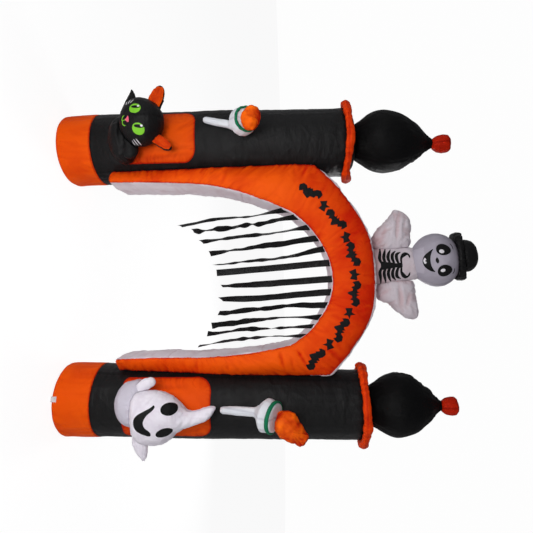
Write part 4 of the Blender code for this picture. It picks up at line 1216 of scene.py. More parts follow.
for side, row in TORCH_RIMS.items():
    make_rim(side, row)

# %% [markdown]
# ## The cat
# Each figure is a few bags sewn together: a round head pressed against a body, two arms and two ears. An
# orange lining sits on the front of each ear.

# %% The cat's bags
def wider(points):
    """Grows a piece about its own middle, to the front of what carries it."""
    middle = (points.min(axis=0) + points.max(axis=0)) / 2
    return middle + (points - middle) * (1.08, 1.0, 1.22)


CAT_HEAD = soft_piece("cat_round_head", "cat_head", BLACK, "black_cloth",
                      (((-0.918, -0.352, 0.630), (0, 1, 0)), ((-0.918, -0.352, 0.630), (1, 0, 0.1))),
                      against=(TUBES["left"],), seed=600)
CAT_BODY = soft_piece("cat_round_body", "cat_body", BLACK, "black_cloth",
                      (((-0.842, -0.262, 0.484), (0, 1, 0)),),
                      (((-0.950, 0.500), (-0.780, 0.497), 0.007, 0.010),
                       ((-0.890, 0.465), (-0.760, 0.475), 0.003, 0.008)),
                      against=(TUBES["left"], FEET["left"], CAT_HEAD), seed=610)
CAT_EARS = {}
for n, side in enumerate(("left", "right")):
    at_x = (-1.070, -0.790)[n]
    CAT_EARS[side] = soft_piece(f"cat_{side}_ear", f"cat_ear_{side}", BLACK, "black_cloth",
                                (((at_x, -0.335, 0.73), (0, 1, 0)),), against=(CAT_HEAD,), voxel=0.0048,
                                rounds=2,
                                most=0, width=0.012, depth=0.003, seed=620 + n)
    soft_piece(f"cat_{side}_ear_lining", f"cat_ear_{side}_lining", WINDOW_ORANGE, "orange_cloth",
               (((at_x, -0.365, 0.73), (0, 1, 0)),), against=(CAT_EARS[side], CAT_HEAD), voxel=0.0036,
               rounds=1,
               most=0, depth=0.0012, width=0.009, reach=0.02, billow=0.0014, seed=625 + n,
               reshape=wider)
    soft_piece(f"cat_{side}_paw", f"cat_paw_{side}", BLACK, "black_cloth",
               (((at_x, -0.325, 0.54), (0, 1, 0)),),
               against=(TUBES["left"], CAT_HEAD, CAT_BODY), voxel=0.0072, rounds=2, most=0.004, width=0.013,
               seed=630 + n)

# %% [markdown]
# ## The ghost
# The ghost's head runs up into a long tail that bends to one side, and its two arms are raised.

# %% The ghost's bags
GHOST_HEAD = soft_piece("ghost_tall_head", "ghost_head", GHOST, "white_cloth",
                        (((0.871, -0.356, 0.72), (0, 1, 0)),),
                        (((0.790, 0.640), (0.860, 0.615), 0.003, 0.008),
                         ((0.835, 0.960), (0.905, 0.930), 0.003, 0.010),
                         ((0.722, 0.735), (0.775, 0.690), 0.003, 0.008),
                         ((0.830, 0.905), (0.862, 0.868), 0.002, 0.008)),
                        against=(TUBES["right"],), voxel=0.0096, rounds=3, most=0.005, fine=0.0011,
                        billow=0.0026,
                        seed=700)
GHOST_BODY = soft_piece("ghost_round_body", "ghost_body", GHOST_PAINTED_SHADE, "white_cloth",
                        (((0.808, -0.285, 0.552), (0, 1, 0)),),
                        against=(TUBES["right"], FEET["right"], GHOST_HEAD), seed=710)
for n, side in enumerate(("left", "right")):
    soft_piece(f"ghost_{side}_arm", f"ghost_arm_{side}", GHOST, "white_cloth",
               (((0.68, -0.345, 0.65), (0, 1, 0)), ((1.04, -0.328, 0.62), (0, 1, 0)))[n:n + 1],
               against=(TUBES["right"], GHOST_HEAD, GHOST_BODY), voxel=0.0072, rounds=2, most=0.004,
               seed=720 + n)

# %% [markdown]
# ## The skeleton
# It sits on the crown of the arch: a big round head straight on a barrel of a chest, two wide flat arms
# that are wrinkled because little air reaches them, and a soft hat. Warm light comes up from the orange
# cloth below, so the chest and arms are a little pink at their foot.

# %% The skeleton's bags
def chin_light(points):
    """Painted light in a patch below the skull's mouth, and painted shade under the hat."""
    patch = (points[:, 2] < 2.366) & (np.abs(points[:, 0] + 0.050) < 0.082 - 0.25 * (2.366 - points[:, 2]))
    under_hat = np.clip((points[:, 2] - 2.46) / 0.12, 0, 1)
    return np.where(patch, -0.30, 0.15) + 0.45 * under_hat


def fuller_chin(points):
    points = points.copy()
    below = np.clip(2.42 - points[:, 2], 0, None)
    points[:, 2] -= 0.10 * below
    points[:, 0] += (points[:, 0] + 0.056) * 0.35 * below
    return points


def foot_pink(points):
    return 0.95 * np.clip((2.190 - points[:, 2]) / 0.12, 0, 1) ** 1.5


SKELETON_HEAD = soft_piece("skeleton_round_head", "skeleton_head", SKULL, "white_cloth",
                           (((-0.056, 0.030, 2.464), (0, 1, 0)),), rounds=6, seed=800, reshape=fuller_chin,
                           shade=chin_light)
SKELETON_CHEST = soft_piece("skeleton_chest", "skeleton_torso", CHEST, "white_cloth",
                            (((-0.02, 0, 2.2), (0, 1, 0)), ((-0.02, 0, 2.060), (0.03, 0, 1))),
                            against=(CHAMBER, FRONT, SKELETON_HEAD), voxel=0.0096, seed=810, shade=foot_pink)
ARM_LINES = (
    (((-0.360, 2.230), (-0.160, 2.205), 0.006, 0.012), ((-0.300, 2.150), (-0.200, 2.120), 0.004, 0.010),
     ((-0.170, 2.160), (-0.130, 2.090), 0.004, 0.009), ((-0.330, 2.280), (-0.260, 2.255), 0.003, 0.010),
     ((-0.280, 2.200), (-0.230, 2.110), 0.004, 0.009), ((-0.230, 2.290), (-0.180, 2.240), 0.003, 0.009)),
    (((0.110, 2.220), (0.240, 2.235), 0.006, 0.011), ((0.120, 2.170), (0.180, 2.090), 0.004, 0.010),
     ((0.230, 2.300), (0.290, 2.320), 0.003, 0.010), ((0.200, 2.200), (0.240, 2.140), 0.003, 0.009),
     ((0.160, 2.290), (0.250, 2.262), 0.004, 0.009), ((0.250, 2.240), (0.290, 2.250), 0.003, 0.008)),
)
for n, side in enumerate(("left", "right")):
    soft_piece(f"skeleton_{side}_arm", f"skeleton_arm_{side}", CHEST, "white_cloth",
               (((-0.25, 0, 2.2), (0, 1, 0)), ((0.2, 0, 2.2), (0, 1, 0)))[n:n + 1], ARM_LINES[n],
               against=(CHAMBER, SKELETON_HEAD, SKELETON_CHEST), voxel=0.0084, rounds=2, depth=0.0045,
               width=0.016, reach=0.06, billow=0.005, seed=820 + n, shade=foot_pink)
HAT_BRIM = soft_piece("hat_soft_brim", "hat_brim", BLACK, "black_cloth",
                      (((-0.076, -0.012, 2.603), (0.09, 0, 1)),),
                      against=(SKELETON_HEAD,), voxel=0.0048, rounds=3, most=0, depth=0.003, seed=840)
soft_piece("hat_soft_crown", "hat_crown", BLACK, "black_cloth", (((-0.076, 0, 2.66), (0, 1, 0)),),
           against=(HAT_BRIM, SKELETON_HEAD), voxel=0.0072, rounds=3, most=0.004, seed=850)

# %% [markdown]
# The stake tab is a short piece of webbing, folded once and sewn into the foot band's lower edge.

# %% Ground tab
soft_piece("folded_stake_tab", "ground_tab", WEBBING, "webbing", voxel=0.0024, rounds=1, most=0,
           billow=0.0004,
           against=(FEET["right"],), seed=860)

# %% [markdown]
# ## Shapes laid on the cloth
# The windows, the faces, the ribs and the row along the arch are flat cut-outs that follow a curved
# surface. Each is drawn as an outline in x and z, cut into small cells, and cast straight back onto its
# piece. Geometry Nodes do the casting: a ray leaves each point, and where it lands the point is lifted a
# little off the cloth. The tree's inputs are the piece, the lift and the finish.

# %% Casting a cut-out onto a piece
def build_cast_tree():
    tree = bpy.data.node_groups.new("cast_onto", "GeometryNodeTree")
    for label, kind in (("Geometry", "NodeSocketGeometry"), ("Target", "NodeSocketObject"),
                        ("Lift", "NodeSocketFloat"), ("Finish", "NodeSocketMaterial")):
        tree.interface.new_socket(label, in_out="INPUT", socket_type=kind)
    tree.interface.new_socket("Geometry", in_out="OUTPUT", socket_type="NodeSocketGeometry")
    start, end = tree.nodes.new("NodeGroupInput"), tree.nodes.new("NodeGroupOutput")
    target = tree.nodes.new("GeometryNodeObjectInfo")
    tree.links.new(start.outputs["Target"], target.inputs["Object"])
    ray = tree.nodes.new("GeometryNodeRaycast")
    ray.inputs["Ray Direction"].default_value = (0, 1, 0)
    ray.inputs["Ray Length"].default_value = 3
    tree.links.new(target.outputs["Geometry"], ray.inputs["Target Geometry"])
    missed = tree.nodes.new("FunctionNodeBooleanMath")
    missed.operation = "NOT"
    tree.links.new(ray.outputs["Is Hit"], missed.inputs[0])
    kept = tree.nodes.new("GeometryNodeDeleteGeometry")
    kept.domain = "POINT"
    tree.links.new(start.outputs["Geometry"], kept.inputs["Geometry"])
    tree.links.new(missed.outputs[0], kept.inputs["Selection"])
    lifted = tree.nodes.new("ShaderNodeVectorMath")
    lifted.operation = "SCALE"
    tree.links.new(ray.outputs["Hit Normal"], lifted.inputs[0])
    tree.links.new(start.outputs["Lift"], lifted.inputs["Scale"])
    landed = tree.nodes.new("ShaderNodeVectorMath")
    tree.links.new(ray.outputs["Hit Position"], landed.inputs[0])
    tree.links.new(lifted.outputs[0], landed.inputs[1])
    moved = tree.nodes.new("GeometryNodeSetPosition")
    tree.links.new(kept.outputs[0], moved.inputs["Geometry"])
    tree.links.new(landed.outputs[0], moved.inputs["Position"])
    real = tree.nodes.new("GeometryNodeRealizeInstances")
    tree.links.new(moved.outputs[0], real.inputs[0])
    dressed = tree.nodes.new("GeometryNodeSetMaterial")
    tree.links.new(real.outputs[0], dressed.inputs["Geometry"])
    tree.links.new(start.outputs["Finish"], dressed.inputs["Material"])
    tree.links.new(dressed.outputs[0], end.inputs[0])
    return tree


def run_tree(tree, mesh, values):
    """The plain mesh that a node tree makes of a mesh, with its inputs set by name."""
    holder = bpy.data.objects.new("holder", mesh)
    SCENE.collection.objects.link(holder)
    nodes = holder.modifiers.new("nodes", "NODES")
    nodes.node_group = tree
    for item in tree.interface.items_tree:
        if item.in_out == "INPUT" and item.name in values:
            nodes[item.identifier] = values[item.name]
    result = applied(holder)
    bpy.data.objects.remove(holder)
    return result


CAST_TREE = build_cast_tree()
CAST_FROM_Y = -1.2


def cut_out(outlines, step):
    """A flat mesh of closed outlines in x and z, cut into cells of one step."""
    bm = bmesh.new()
    for outline in outlines:
        turns = sum(x0 * z1 - x1 * z0 for (x0, z0), (x1, z1) in zip(outline, outline[1:] + outline[:1]))
        ordered = outline if turns > 0 else outline[::-1]
        bm.faces.new([bm.verts.new((x, CAST_FROM_Y, z)) for x, z in ordered])
    bmesh.ops.triangulate(bm, faces=bm.faces[:])
    for axis in (0, 2):
        values = [vert.co[axis] for vert in bm.verts]
        way = Vector((1, 0, 0)) if axis == 0 else Vector((0, 0, 1))
        place = min(values) + step
        while place < max(values):
            every = bm.verts[:] + bm.edges[:] + bm.faces[:]
            bmesh.ops.bisect_plane(bm, geom=every, plane_co=way * place, plane_no=way, dist=1e-6)
            place += step
    mesh = bpy.data.meshes.new("cut_out")
    bm.to_mesh(mesh)
    bm.free()
    return mesh


def laid_on(name, outlines, target, finish, slot, step=0.004, lift=0.0007, wall=0.0006):
    """A thin shape that lies on the front of a piece."""
    mesh = run_tree(CAST_TREE, cut_out(outlines, step), {"Target": target, "Lift": lift, "Finish": finish})
    mesh.shade_smooth()
    made = piece(name, mesh, finish, slot)
    thick = made.modifiers.new("ink", "SOLIDIFY")
    thick.thickness = wall
    thick.offset = 1
    return made


# %% [markdown]
# Outlines come from a few helpers: an egg, a smooth loop through given points, and a stroke that
# follows a line with its own width at each point.

# %% Outlines
def egg(x, z, wide, tall, tilt=0.0, point=0.0, count=28):
    """An oval. tilt leans it to the right in degrees, and point narrows its top."""
    lean = math.radians(tilt)
    outline = []
    for n in range(count):
        angle = 2 * math.pi * n / count
        across, up = math.cos(angle) * wide / 2, math.sin(angle) * tall / 2
        across = across * (1 - point * math.sin(angle))
        outline.append((x + across * math.cos(lean) + up * math.sin(lean),
                        z - across * math.sin(lean) + up * math.cos(lean)))
    return outline


def loop(points, each=5):
    """A smooth closed outline through points."""
    rows = np.array(points, float)
    closed = np.concatenate((rows[-1:], rows, rows[:2]))
    curve = through(closed, (len(closed) - 1) * each + 1)[each:-each - 1]
    return [tuple(point) for point in curve.tolist()]


def stroke(points, widths, count=14):
    """The outline of a line of changing width."""
    line = through(points, count)
    half = through([(value,) for value in widths], count)[:, 0] / 2
    way = np.gradient(line, axis=0)
    way = way / np.linalg.norm(way, axis=1)[:, None]
    side = np.stack((-way[:, 1], way[:, 0]), axis=1) * half[:, None]
    return [tuple(point) for point in np.concatenate((line + side, (line - side)[::-1])).tolist()]


def mirrored(points, middle):
    return [(2 * middle - x, z) for x, z in points]


# %% [markdown]
# The two windows are stretched panels of orange cloth in the black tubes, with round upper corners. Their
# edges pucker, as every edge sewn onto an air-filled tube does.

# %% Windows
def window_outline(left, right, low, high, below=0.030, above=0.085, count=9):
    outline = []
    for x, z, radius, first in ((right, low, below, -90), (right, high, above, 0), (left, high, above, 90),
                                (left, low, below, 180)):
        centre_x = x - radius if x == right else x + radius
        centre_z = z + radius if z == low else z - radius
        for n in range(count):
            angle = math.radians(first + 90 * n / (count - 1))
            outline.append((centre_x + radius * math.cos(angle), centre_z + radius * math.sin(angle)))
    return outline


def to_outline(points, outline):
    """How far points are from an outline's line, and how far along it the nearest place is."""
    line = np.array(outline + outline[:1])
    nearest = np.full(len(points), 9.0)
    along = np.zeros(len(points))
    run = 0.0
    for start, stop in zip(line, line[1:]):
        way = stop - start
        length = np.linalg.norm(way)
        if length < 1e-9:
            continue
        share = np.clip((points - start) @ way / length**2, 0, 1)
        apart = np.linalg.norm(points - start - share[:, None] * way, axis=1)
        closer = apart < nearest
        nearest = np.where(closer, apart, nearest)
        along = np.where(closer, run + share * length, along)
        run += length
    return nearest, along


WINDOW_LINES = {
    "left": (((-0.800, 0.900), (-0.780, 0.700), 0.0022, 0.010),
             ((-0.760, 0.870), (-0.735, 0.560), 0.0030, 0.012),
             ((-0.960, 0.905), (-0.900, 0.800), 0.0020, 0.012)),
    "right": (((0.740, 0.560), (0.725, 0.860), 0.0028, 0.011),
              ((0.700, 0.700), (0.705, 0.520), 0.0025, 0.009),
              ((0.965, 0.990), (1.000, 0.880), 0.0022, 0.011)),
}
WINDOWS = {}
for n, (side, column) in enumerate(COLUMNS.items()):
    outline = window_outline(*column["window"])
    mesh = run_tree(CAST_TREE, cut_out([outline], 0.006),
                    {"Target": TUBES[side], "Lift": 0.0014, "Finish": WINDOW_ORANGE})
    mesh.shade_smooth()
    points = corners_of(mesh)
    apart, along = to_outline(points[:, (0, 2)], outline)
    relief = beside_seam(apart, along, 880 + n, 0.055, 0.016, 0.0030, 0) + 0.0016 * noise_at(
        points[:, 0] / 0.09, 0.5, points[:, 2] / 0.12, 884 + n)
    relief = relief + creases(points, WINDOW_LINES[side])
    push(mesh, np.clip(relief + 0.0030, 0, None) * np.clip(apart / 0.008, 0, 1))
    shade = 0.55 * np.exp(-apart / 0.030) + 0.30 * np.clip((0.80 - points[:, 2]) / 0.35, 0, 1)
    paint(mesh, "painted_light_and_shade", np.clip(-relief * 90, -0.15, 0.4) + shade)
    paint(mesh, "seam", near_seam(apart, 0.006))
    WINDOWS[side] = piece(f"window_panel_{side}", mesh, WINDOW_ORANGE, "orange_cloth", f"window_{side}")
    thick = WINDOWS[side].modifiers.new("cloth", "SOLIDIFY")
    thick.thickness = 0.0008
    thick.offset = 0

# %% [markdown]
# The faces are printed, each in two or three inks. They are kept simple and kindly: round eyes with a
# spark of white, and a wide smile.

# %% The cat's face
laid_on("cat_eyes", [egg(-0.958, 0.630, 0.062, 0.070), egg(-0.840, 0.646, 0.062, 0.070)], CAT_HEAD, GREEN_INK,
        "green_cloth")
laid_on("cat_pupils", [egg(-0.967, 0.634, 0.018, 0.054, 4), egg(-0.853, 0.651, 0.018, 0.054, 4)], CAT_HEAD,
        BLACK_INK,
        "black_cloth", 0.003, 0.0016)
laid_on("cat_eye_sparks", [egg(-0.971, 0.650, 0.012, 0.014), egg(-0.856, 0.667, 0.012, 0.014)], CAT_HEAD,
        WHITE_INK,
        "white_cloth", 0.003, 0.0025)
laid_on("cat_nose", [loop(((-0.913, 0.590), (-0.895, 0.594), (-0.877, 0.591), (-0.886, 0.576),
                           (-0.894, 0.568), (-0.903, 0.577)))],
        CAT_HEAD, PINK_INK, "orange_cloth", 0.003)
laid_on("cat_mouth", [stroke(((-0.921, 0.564), (-0.913, 0.549), (-0.896, 0.545), (-0.893, 0.549),
                              (-0.882, 0.546),
                              (-0.868, 0.553), (-0.862, 0.568)),
                              (0.004, 0.006, 0.006, 0.005, 0.006, 0.006, 0.004), 24),
                      stroke(((-0.894, 0.571), (-0.893, 0.560), (-0.893, 0.552)), (0.004, 0.004, 0.004), 6)],
        CAT_HEAD, GREEN_INK, "green_cloth", 0.003)
WHISKERS = (((-1.022, 0.612), (-0.998, 0.594)), ((-1.024, 0.590), (-0.994, 0.580)),
            ((-1.018, 0.566), (-0.992, 0.567)),
            ((-0.793, 0.618), (-0.757, 0.642)), ((-0.792, 0.602), (-0.752, 0.622)),
            ((-0.788, 0.590), (-0.755, 0.597)))
laid_on("cat_whiskers", [stroke((a, ((a[0] + b[0]) / 2, (a[1] + b[1]) / 2), b), (0.003, 0.0055, 0.003),
                                8) for a, b in WHISKERS],
        CAT_HEAD, WHITE_INK, "white_cloth", 0.003)

# %% The ghost's face
laid_on("ghost_eyes", [egg(0.800, 0.824, 0.064, 0.088, 14), egg(0.926, 0.801, 0.050, 0.090, -16)], GHOST_HEAD,
        BLACK_INK,
        "black_cloth")
laid_on("ghost_grin", [loop(((0.773, 0.742), (0.786, 0.748), (0.803, 0.735), (0.828, 0.706), (0.862, 0.690),
                             (0.893, 0.699),
                             (0.912, 0.723), (0.930, 0.732), (0.941, 0.722), (0.932, 0.688), (0.912, 0.652),
                             (0.886, 0.634),
                             (0.850, 0.634), (0.824, 0.652), (0.804, 0.688), (0.786, 0.724)))], GHOST_HEAD,
                             BLACK_INK, "black_cloth")

# %% The skeleton's face and ribs
laid_on("skeleton_eyes", [egg(-0.111, 2.473, 0.072, 0.090, 8, 0.16),
                          egg(0.017, 2.481, 0.070, 0.090, -8, 0.16)], SKELETON_HEAD,
        BLACK_INK, "black_cloth")
laid_on("skeleton_eye_sparks", [egg(-0.100, 2.459, 0.024, 0.030, 10), egg(0.016, 2.466, 0.020, 0.028, -6)],
        SKELETON_HEAD,
        WHITE_INK, "white_cloth", 0.003, 0.0016)
laid_on("skeleton_nose", [loop(((-0.064, 2.429), (-0.052, 2.438), (-0.038, 2.441), (-0.026, 2.435),
                                (-0.036, 2.425),
                                (-0.050, 2.422)))], SKELETON_HEAD, BLACK_INK, "black_cloth", 0.003)
laid_on("skeleton_brows", [stroke(((-0.150, 2.520), (-0.132, 2.532), (-0.112, 2.534)), (0.003, 0.005, 0.003),
                                  10),
                           stroke(((0.004, 2.541), (0.022, 2.541), (0.038, 2.531)), (0.003, 0.005, 0.003),
                                  10)],
        SKELETON_HEAD, BLACK_INK, "black_cloth", 0.003)
laid_on("skeleton_smile", [loop(((-0.117, 2.413), (-0.098, 2.404), (-0.070, 2.396), (-0.044, 2.395),
                                 (-0.016, 2.400), (0.008, 2.411),
                                 (0.024, 2.423), (0.018, 2.398), (-0.004, 2.370), (-0.030, 2.357),
                                 (-0.052, 2.355),
                                 (-0.080, 2.366), (-0.104, 2.392)))], SKELETON_HEAD, BLACK_INK, "black_cloth")
laid_on("skeleton_tooth", [loop(((-0.064, 2.366), (-0.054, 2.373), (-0.045, 2.368), (-0.036, 2.375),
                                 (-0.026, 2.369), (-0.036, 2.361),
                                 (-0.050, 2.359)))], SKELETON_HEAD, WHITE_INK, "white_cloth", 0.003, 0.0016)
SPINE_X = -0.021
RIBS = []
for n in range(5):
    inner_z, outer_z, out = 2.212 - 0.0265 * n, 2.232 - 0.0300 * n, 0.082 + 0.0095 * n
    rib = ((SPINE_X + 0.012, inner_z), (SPINE_X + 0.040, inner_z - 0.010), (SPINE_X + 0.068, inner_z - 0.006),
           (SPINE_X + out, outer_z))
    RIBS.append(stroke(rib, (0.014, 0.020, 0.019, 0.004), 16))
    RIBS.append(stroke(mirrored(rib, SPINE_X - 0.002), (0.014, 0.020, 0.019, 0.004), 16))
hook = ((SPINE_X + 0.006, 2.232), (SPINE_X + 0.034, 2.230), (SPINE_X + 0.062, 2.240),
        (SPINE_X + 0.075, 2.262),
        (SPINE_X + 0.062, 2.284), (SPINE_X + 0.042, 2.287))
HOOK_WIDTHS = (0.010, 0.014, 0.014, 0.012, 0.009, 0.003)
RIBS.append(stroke(hook, HOOK_WIDTHS, 26))
RIBS.append(stroke(mirrored(hook, SPINE_X - 0.002), HOOK_WIDTHS, 26))
spine = [(SPINE_X + x, z) for x, z in ((-0.010, 2.238), (0.009, 2.238), (0.016, 2.222), (0.012, 2.196),
                                       (0.017, 2.182),
                                       (0.012, 2.160), (0.019, 2.142), (0.014, 2.124), (0.027, 2.102),
                                       (-0.029, 2.100),
                                       (-0.016, 2.124), (-0.021, 2.142), (-0.014, 2.160), (-0.019, 2.182),
                                       (-0.014, 2.196), (-0.018, 2.222))]
laid_on("skeleton_ribs", RIBS, SKELETON_CHEST, BLACK_INK, "black_cloth", 0.004)
laid_on("skeleton_spine", [spine], SKELETON_CHEST, BLACK_INK, "black_cloth", 0.004, 0.0014)

# %% [markdown]
# Plain bats and stars in black run along the middle of the front panel. Each is one unit outline, turned
# so that its top points away from the walkway.

# %% The row on the arch
BAT_HALF = ((0.00, 0.20), (0.05, 0.24), (0.11, 0.42), (0.17, 0.24), (0.28, 0.20), (0.44, 0.44), (0.74, 0.50),
            (1.00, 0.26),
            (0.93, -0.02), (0.82, -0.20), (0.70, -0.03), (0.57, -0.04), (0.47, -0.26), (0.34, -0.12),
            (0.20, -0.14), (0.09, -0.42))
BAT = [*BAT_HALF, (0.0, -0.50), *[(-x, z) for x, z in BAT_HALF[:0:-1]]]
STAR = [(math.sin(math.pi * n / 5) * (1.0, 0.42)[n % 2],
         math.cos(math.pi * n / 5) * (1.0, 0.42)[n % 2]) for n in range(10)]


def place_outline(outline, at, up, size, stretch=1.0):
    right = (up[1], -up[0])
    return [(at[0] + size * (stretch * x * right[0] + z * up[0]),
             at[1] + size * (stretch * x * right[1] + z * up[1]))
            for x, z in outline]


inner_seam, outward, widths, _, run = arch_stations(ARCH_COUNT)
ROW_COUNT = 11
ROW_FROM, ROW_TO = 0.352, 0.664
shapes = []
for n in range(ROW_COUNT):
    k = int(round((ROW_FROM + (ROW_TO - ROW_FROM) * n / (ROW_COUNT - 1)) * (ARCH_COUNT - 1)))
    middle = inner_seam[k] + outward[k] * widths[k] * 0.5
    up = (outward[k][0], outward[k][2])
    if n % 2:
        shapes.append(place_outline(STAR, (middle[0], middle[2]), up, 0.038))
    else:
        shapes.append(place_outline(BAT, (middle[0], middle[2]), up, 0.080))
laid_on("arch_row_shapes", shapes, FRONT, BLACK_INK, "black_cloth", 0.005, 0.0008)

# %% [markdown]
# Stitches are short threads at an even spacing along a seam. Geometry Nodes resample each seam's line,
# put a small four-sided thread on every point and turn it along the line. The spacing, the length and the
# thickness are the tree's inputs.

# %% Stitches
def build_stitch_tree():
    tree = bpy.data.node_groups.new("stitch_line", "GeometryNodeTree")
    for label, kind in (("Geometry", "NodeSocketGeometry"), ("Spacing", "NodeSocketFloat"),
                        ("Length", "NodeSocketFloat"),
                        ("Radius", "NodeSocketFloat"), ("Finish", "NodeSocketMaterial")):
        tree.interface.new_socket(label, in_out="INPUT", socket_type=kind)
    tree.interface.new_socket("Geometry", in_out="OUTPUT", socket_type="NodeSocketGeometry")
    start, end = tree.nodes.new("NodeGroupInput"), tree.nodes.new("NodeGroupOutput")
    curve = tree.nodes.new("GeometryNodeMeshToCurve")
    tree.links.new(start.outputs["Geometry"], curve.inputs[0])
    even = tree.nodes.new("GeometryNodeResampleCurve")
    even.mode = "LENGTH"
    tree.links.new(curve.outputs[0], even.inputs["Curve"])
    tree.links.new(start.outputs["Spacing"], even.inputs["Length"])
    thread = tree.nodes.new("GeometryNodeMeshCylinder")
    thread.inputs["Vertices"].default_value = 4
    tree.links.new(start.outputs["Radius"], thread.inputs["Radius"])
    tree.links.new(start.outputs["Length"], thread.inputs["Depth"])
    tangent = tree.nodes.new("GeometryNodeInputTangent")
    turn = tree.nodes.new("FunctionNodeAlignRotationToVector")
    turn.axis = "Z"
    tree.links.new(tangent.outputs[0], turn.inputs["Vector"])
    vary = tree.nodes.new("FunctionNodeRandomValue")
    vary.data_type = "FLOAT"
    vary.inputs[2].default_value = 0.8
    vary.inputs[3].default_value = 1.1
    vary.inputs["Seed"].default_value = 7
    copies = tree.nodes.new("GeometryNodeInstanceOnPoints")
    tree.links.new(even.outputs[0], copies.inputs["Points"])
    tree.links.new(thread.outputs["Mesh"], copies.inputs["Instance"])
    tree.links.new(turn.outputs[0], copies.inputs["Rotation"])
    tree.links.new(vary.outputs[1], copies.inputs["Scale"])
    real = tree.nodes.new("GeometryNodeRealizeInstances")
    tree.links.new(copies.outputs[0], real.inputs[0])
    dressed = tree.nodes.new("GeometryNodeSetMaterial")
    tree.links.new(real.outputs[0], dressed.inputs["Geometry"])
    tree.links.new(start.outputs["Finish"], dressed.inputs["Material"])
    tree.links.new(dressed.outputs[0], end.inputs[0])
    return tree


STITCH_TREE = build_stitch_tree()


def line_mesh(lines):
    """A mesh of edges alone, one run of edges for each line of points."""
    points, edges = [], []
    for line in lines:
        first = len(points)
        points.extend([tuple(point) for point in line])
        edges.extend((n, n + 1) for n in range(first, len(points) - 1))
    mesh = bpy.data.meshes.new("seam_line")
    mesh.from_pydata(points, edges, [])
    return mesh


def grid_line(obj, around, rows=None, column=None, row=None, lift=0.0004):
    """A line of corners of a piece that was skinned from a grid: along one column, or round one row."""
    points = corners_of(obj.data) + normals_of(obj.data) * lift
    count = len(points) // around
    grid = points[:count * around].reshape(count, around, 3)
    if column is not None:
        return grid[:, column][rows] if rows is not None else grid[:, column]
    return np.concatenate((grid[row], grid[row][:1]))


def stitched(name, lines, finish, slot, spacing=0.009, length=0.006, radius=0.0006):
    mesh = run_tree(STITCH_TREE, line_mesh(lines), {"Spacing": spacing, "Length": length, "Radius": radius,
                                                    "Finish": finish})
    return piece(name, mesh, finish, slot)


stitched("front_panel_stitches", [grid_line(FRONT, 52, column=2), grid_line(FRONT, 52, column=43)], THREAD,
         "orange_cloth")
for side in ("left", "right"):
    stitched(f"foot_stitches_{side}", [grid_line(FEET[side], COLUMN_AROUND, row=-2)], THREAD, "orange_cloth")
    stitched(f"tube_stitches_{side}", [grid_line(TUBES[side], COLUMN_AROUND, row=1)], DARK_THREAD,
             "black_cloth")

# %% [markdown]
# Until here every mesh is cloth. The stage is a wide pale floor, an even white sky that the camera sees
# as paper white, and four soft lamps: a strong one in front, low and near, a weak one at each side, and
# one behind for whoever walks round the arch.
# Light from the camera's side leaves the edges of round things darker than their middles, and a low lamp
# leaves the top of the arch darker than its foot. The sky is dimmer overhead for the same reason.

# %% Stage and light
def add_floor():
    bpy.ops.mesh.primitive_circle_add(vertices=96, radius=40, fill_type="NGON", location=(0, 0, -0.0005))
    floor = bpy.context.object
    floor.name = "pale_floor"
    paper = bpy.data.materials.new("pale_paper")
    paper.use_nodes = True
    shader = paper.node_tree.nodes["Principled BSDF"]
    shader.inputs["Base Color"].default_value = (0.90, 0.90, 0.90, 1)
    shader.inputs["Roughness"].default_value = 0.9
    shader.inputs["Specular IOR Level"].default_value = 0.1
    tree = paper.node_tree
    glow = tree.nodes.new("ShaderNodeEmission")
    glow.inputs["Strength"].default_value = 1.13
    seen = tree.nodes.new("ShaderNodeLightPath")
    share = calculate(tree, "MULTIPLY", seen.outputs["Is Camera Ray"], 0.80)
    mix = tree.nodes.new("ShaderNodeMixShader")
    tree.links.new(share, mix.inputs[0])
    tree.links.new(shader.outputs[0], mix.inputs[1])
    tree.links.new(glow.outputs[0], mix.inputs[2])
    tree.links.new(mix.outputs[0], tree.nodes["Material Output"].inputs["Surface"])
    floor.data.materials.append(paper)


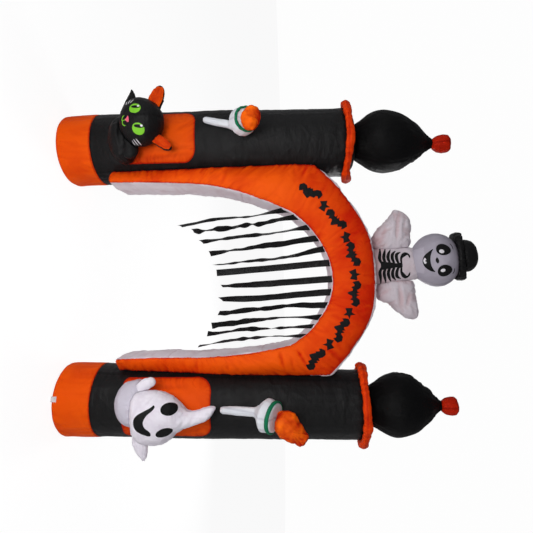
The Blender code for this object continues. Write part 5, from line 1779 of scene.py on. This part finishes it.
def add_lamp(name, place, target, size, power, colour=(1, 1, 1)):
    data = bpy.data.lights.new(name, "AREA")
    data.shape = "DISK"
    data.size = size
    data.energy = power
    data.color = colour
    lamp = bpy.data.objects.new(name, data)
    SCENE.collection.objects.link(lamp)
    lamp.location = place
    lamp.rotation_euler = (Vector(target) - Vector(place)).to_track_quat("-Z", "Y").to_euler()
    return lamp


SKY_LOW = (0.50, 0.50, 0.51, 1)
SKY_HIGH = (0.13, 0.13, 0.14, 1)


def add_sky():
    world = bpy.data.worlds.new("white_sky")
    SCENE.world = world
    world.use_nodes = True
    tree = world.node_tree
    light = tree.nodes["Background"]
    way = tree.nodes.new("ShaderNodeTexCoord")
    parts = tree.nodes.new("ShaderNodeSeparateXYZ")
    tree.links.new(way.outputs["Generated"], parts.inputs[0])
    upward = calculate(tree, "MAXIMUM", parts.outputs["Z"], 0.0)
    fade = calculate(tree, "POWER", upward, 0.7)
    tree.links.new(blend_colour(tree, fade, SKY_LOW, SKY_HIGH), light.inputs["Color"])
    light.inputs["Strength"].default_value = 1.0
    paper = tree.nodes.new("ShaderNodeBackground")
    paper.inputs["Color"].default_value = (1, 1, 1, 1)
    paper.inputs["Strength"].default_value = 0.985
    seen = tree.nodes.new("ShaderNodeLightPath")
    mix = tree.nodes.new("ShaderNodeMixShader")
    tree.links.new(seen.outputs["Is Camera Ray"], mix.inputs[0])
    tree.links.new(light.outputs[0], mix.inputs[1])
    tree.links.new(paper.outputs[0], mix.inputs[2])
    tree.links.new(mix.outputs[0], tree.nodes["World Output"].inputs["Surface"])


add_floor()
add_lamp("front_lamp", (-0.2, -2.9, 0.85), (0, 0, 1.0), 1.1, 48)
add_lamp("left_lamp", (-4.2, -2.2, 1.6), (0, 0, 1.1), 1.6, 14)
add_lamp("right_lamp", (4.4, -2.0, 1.6), (0, 0, 1.1), 1.6, 14)
add_lamp("back_lamp", (1.6, 4.6, 3.0), (0, 0, 1.3), 2.2, 90)
add_sky()
SCENE.view_settings.view_transform = "Standard"
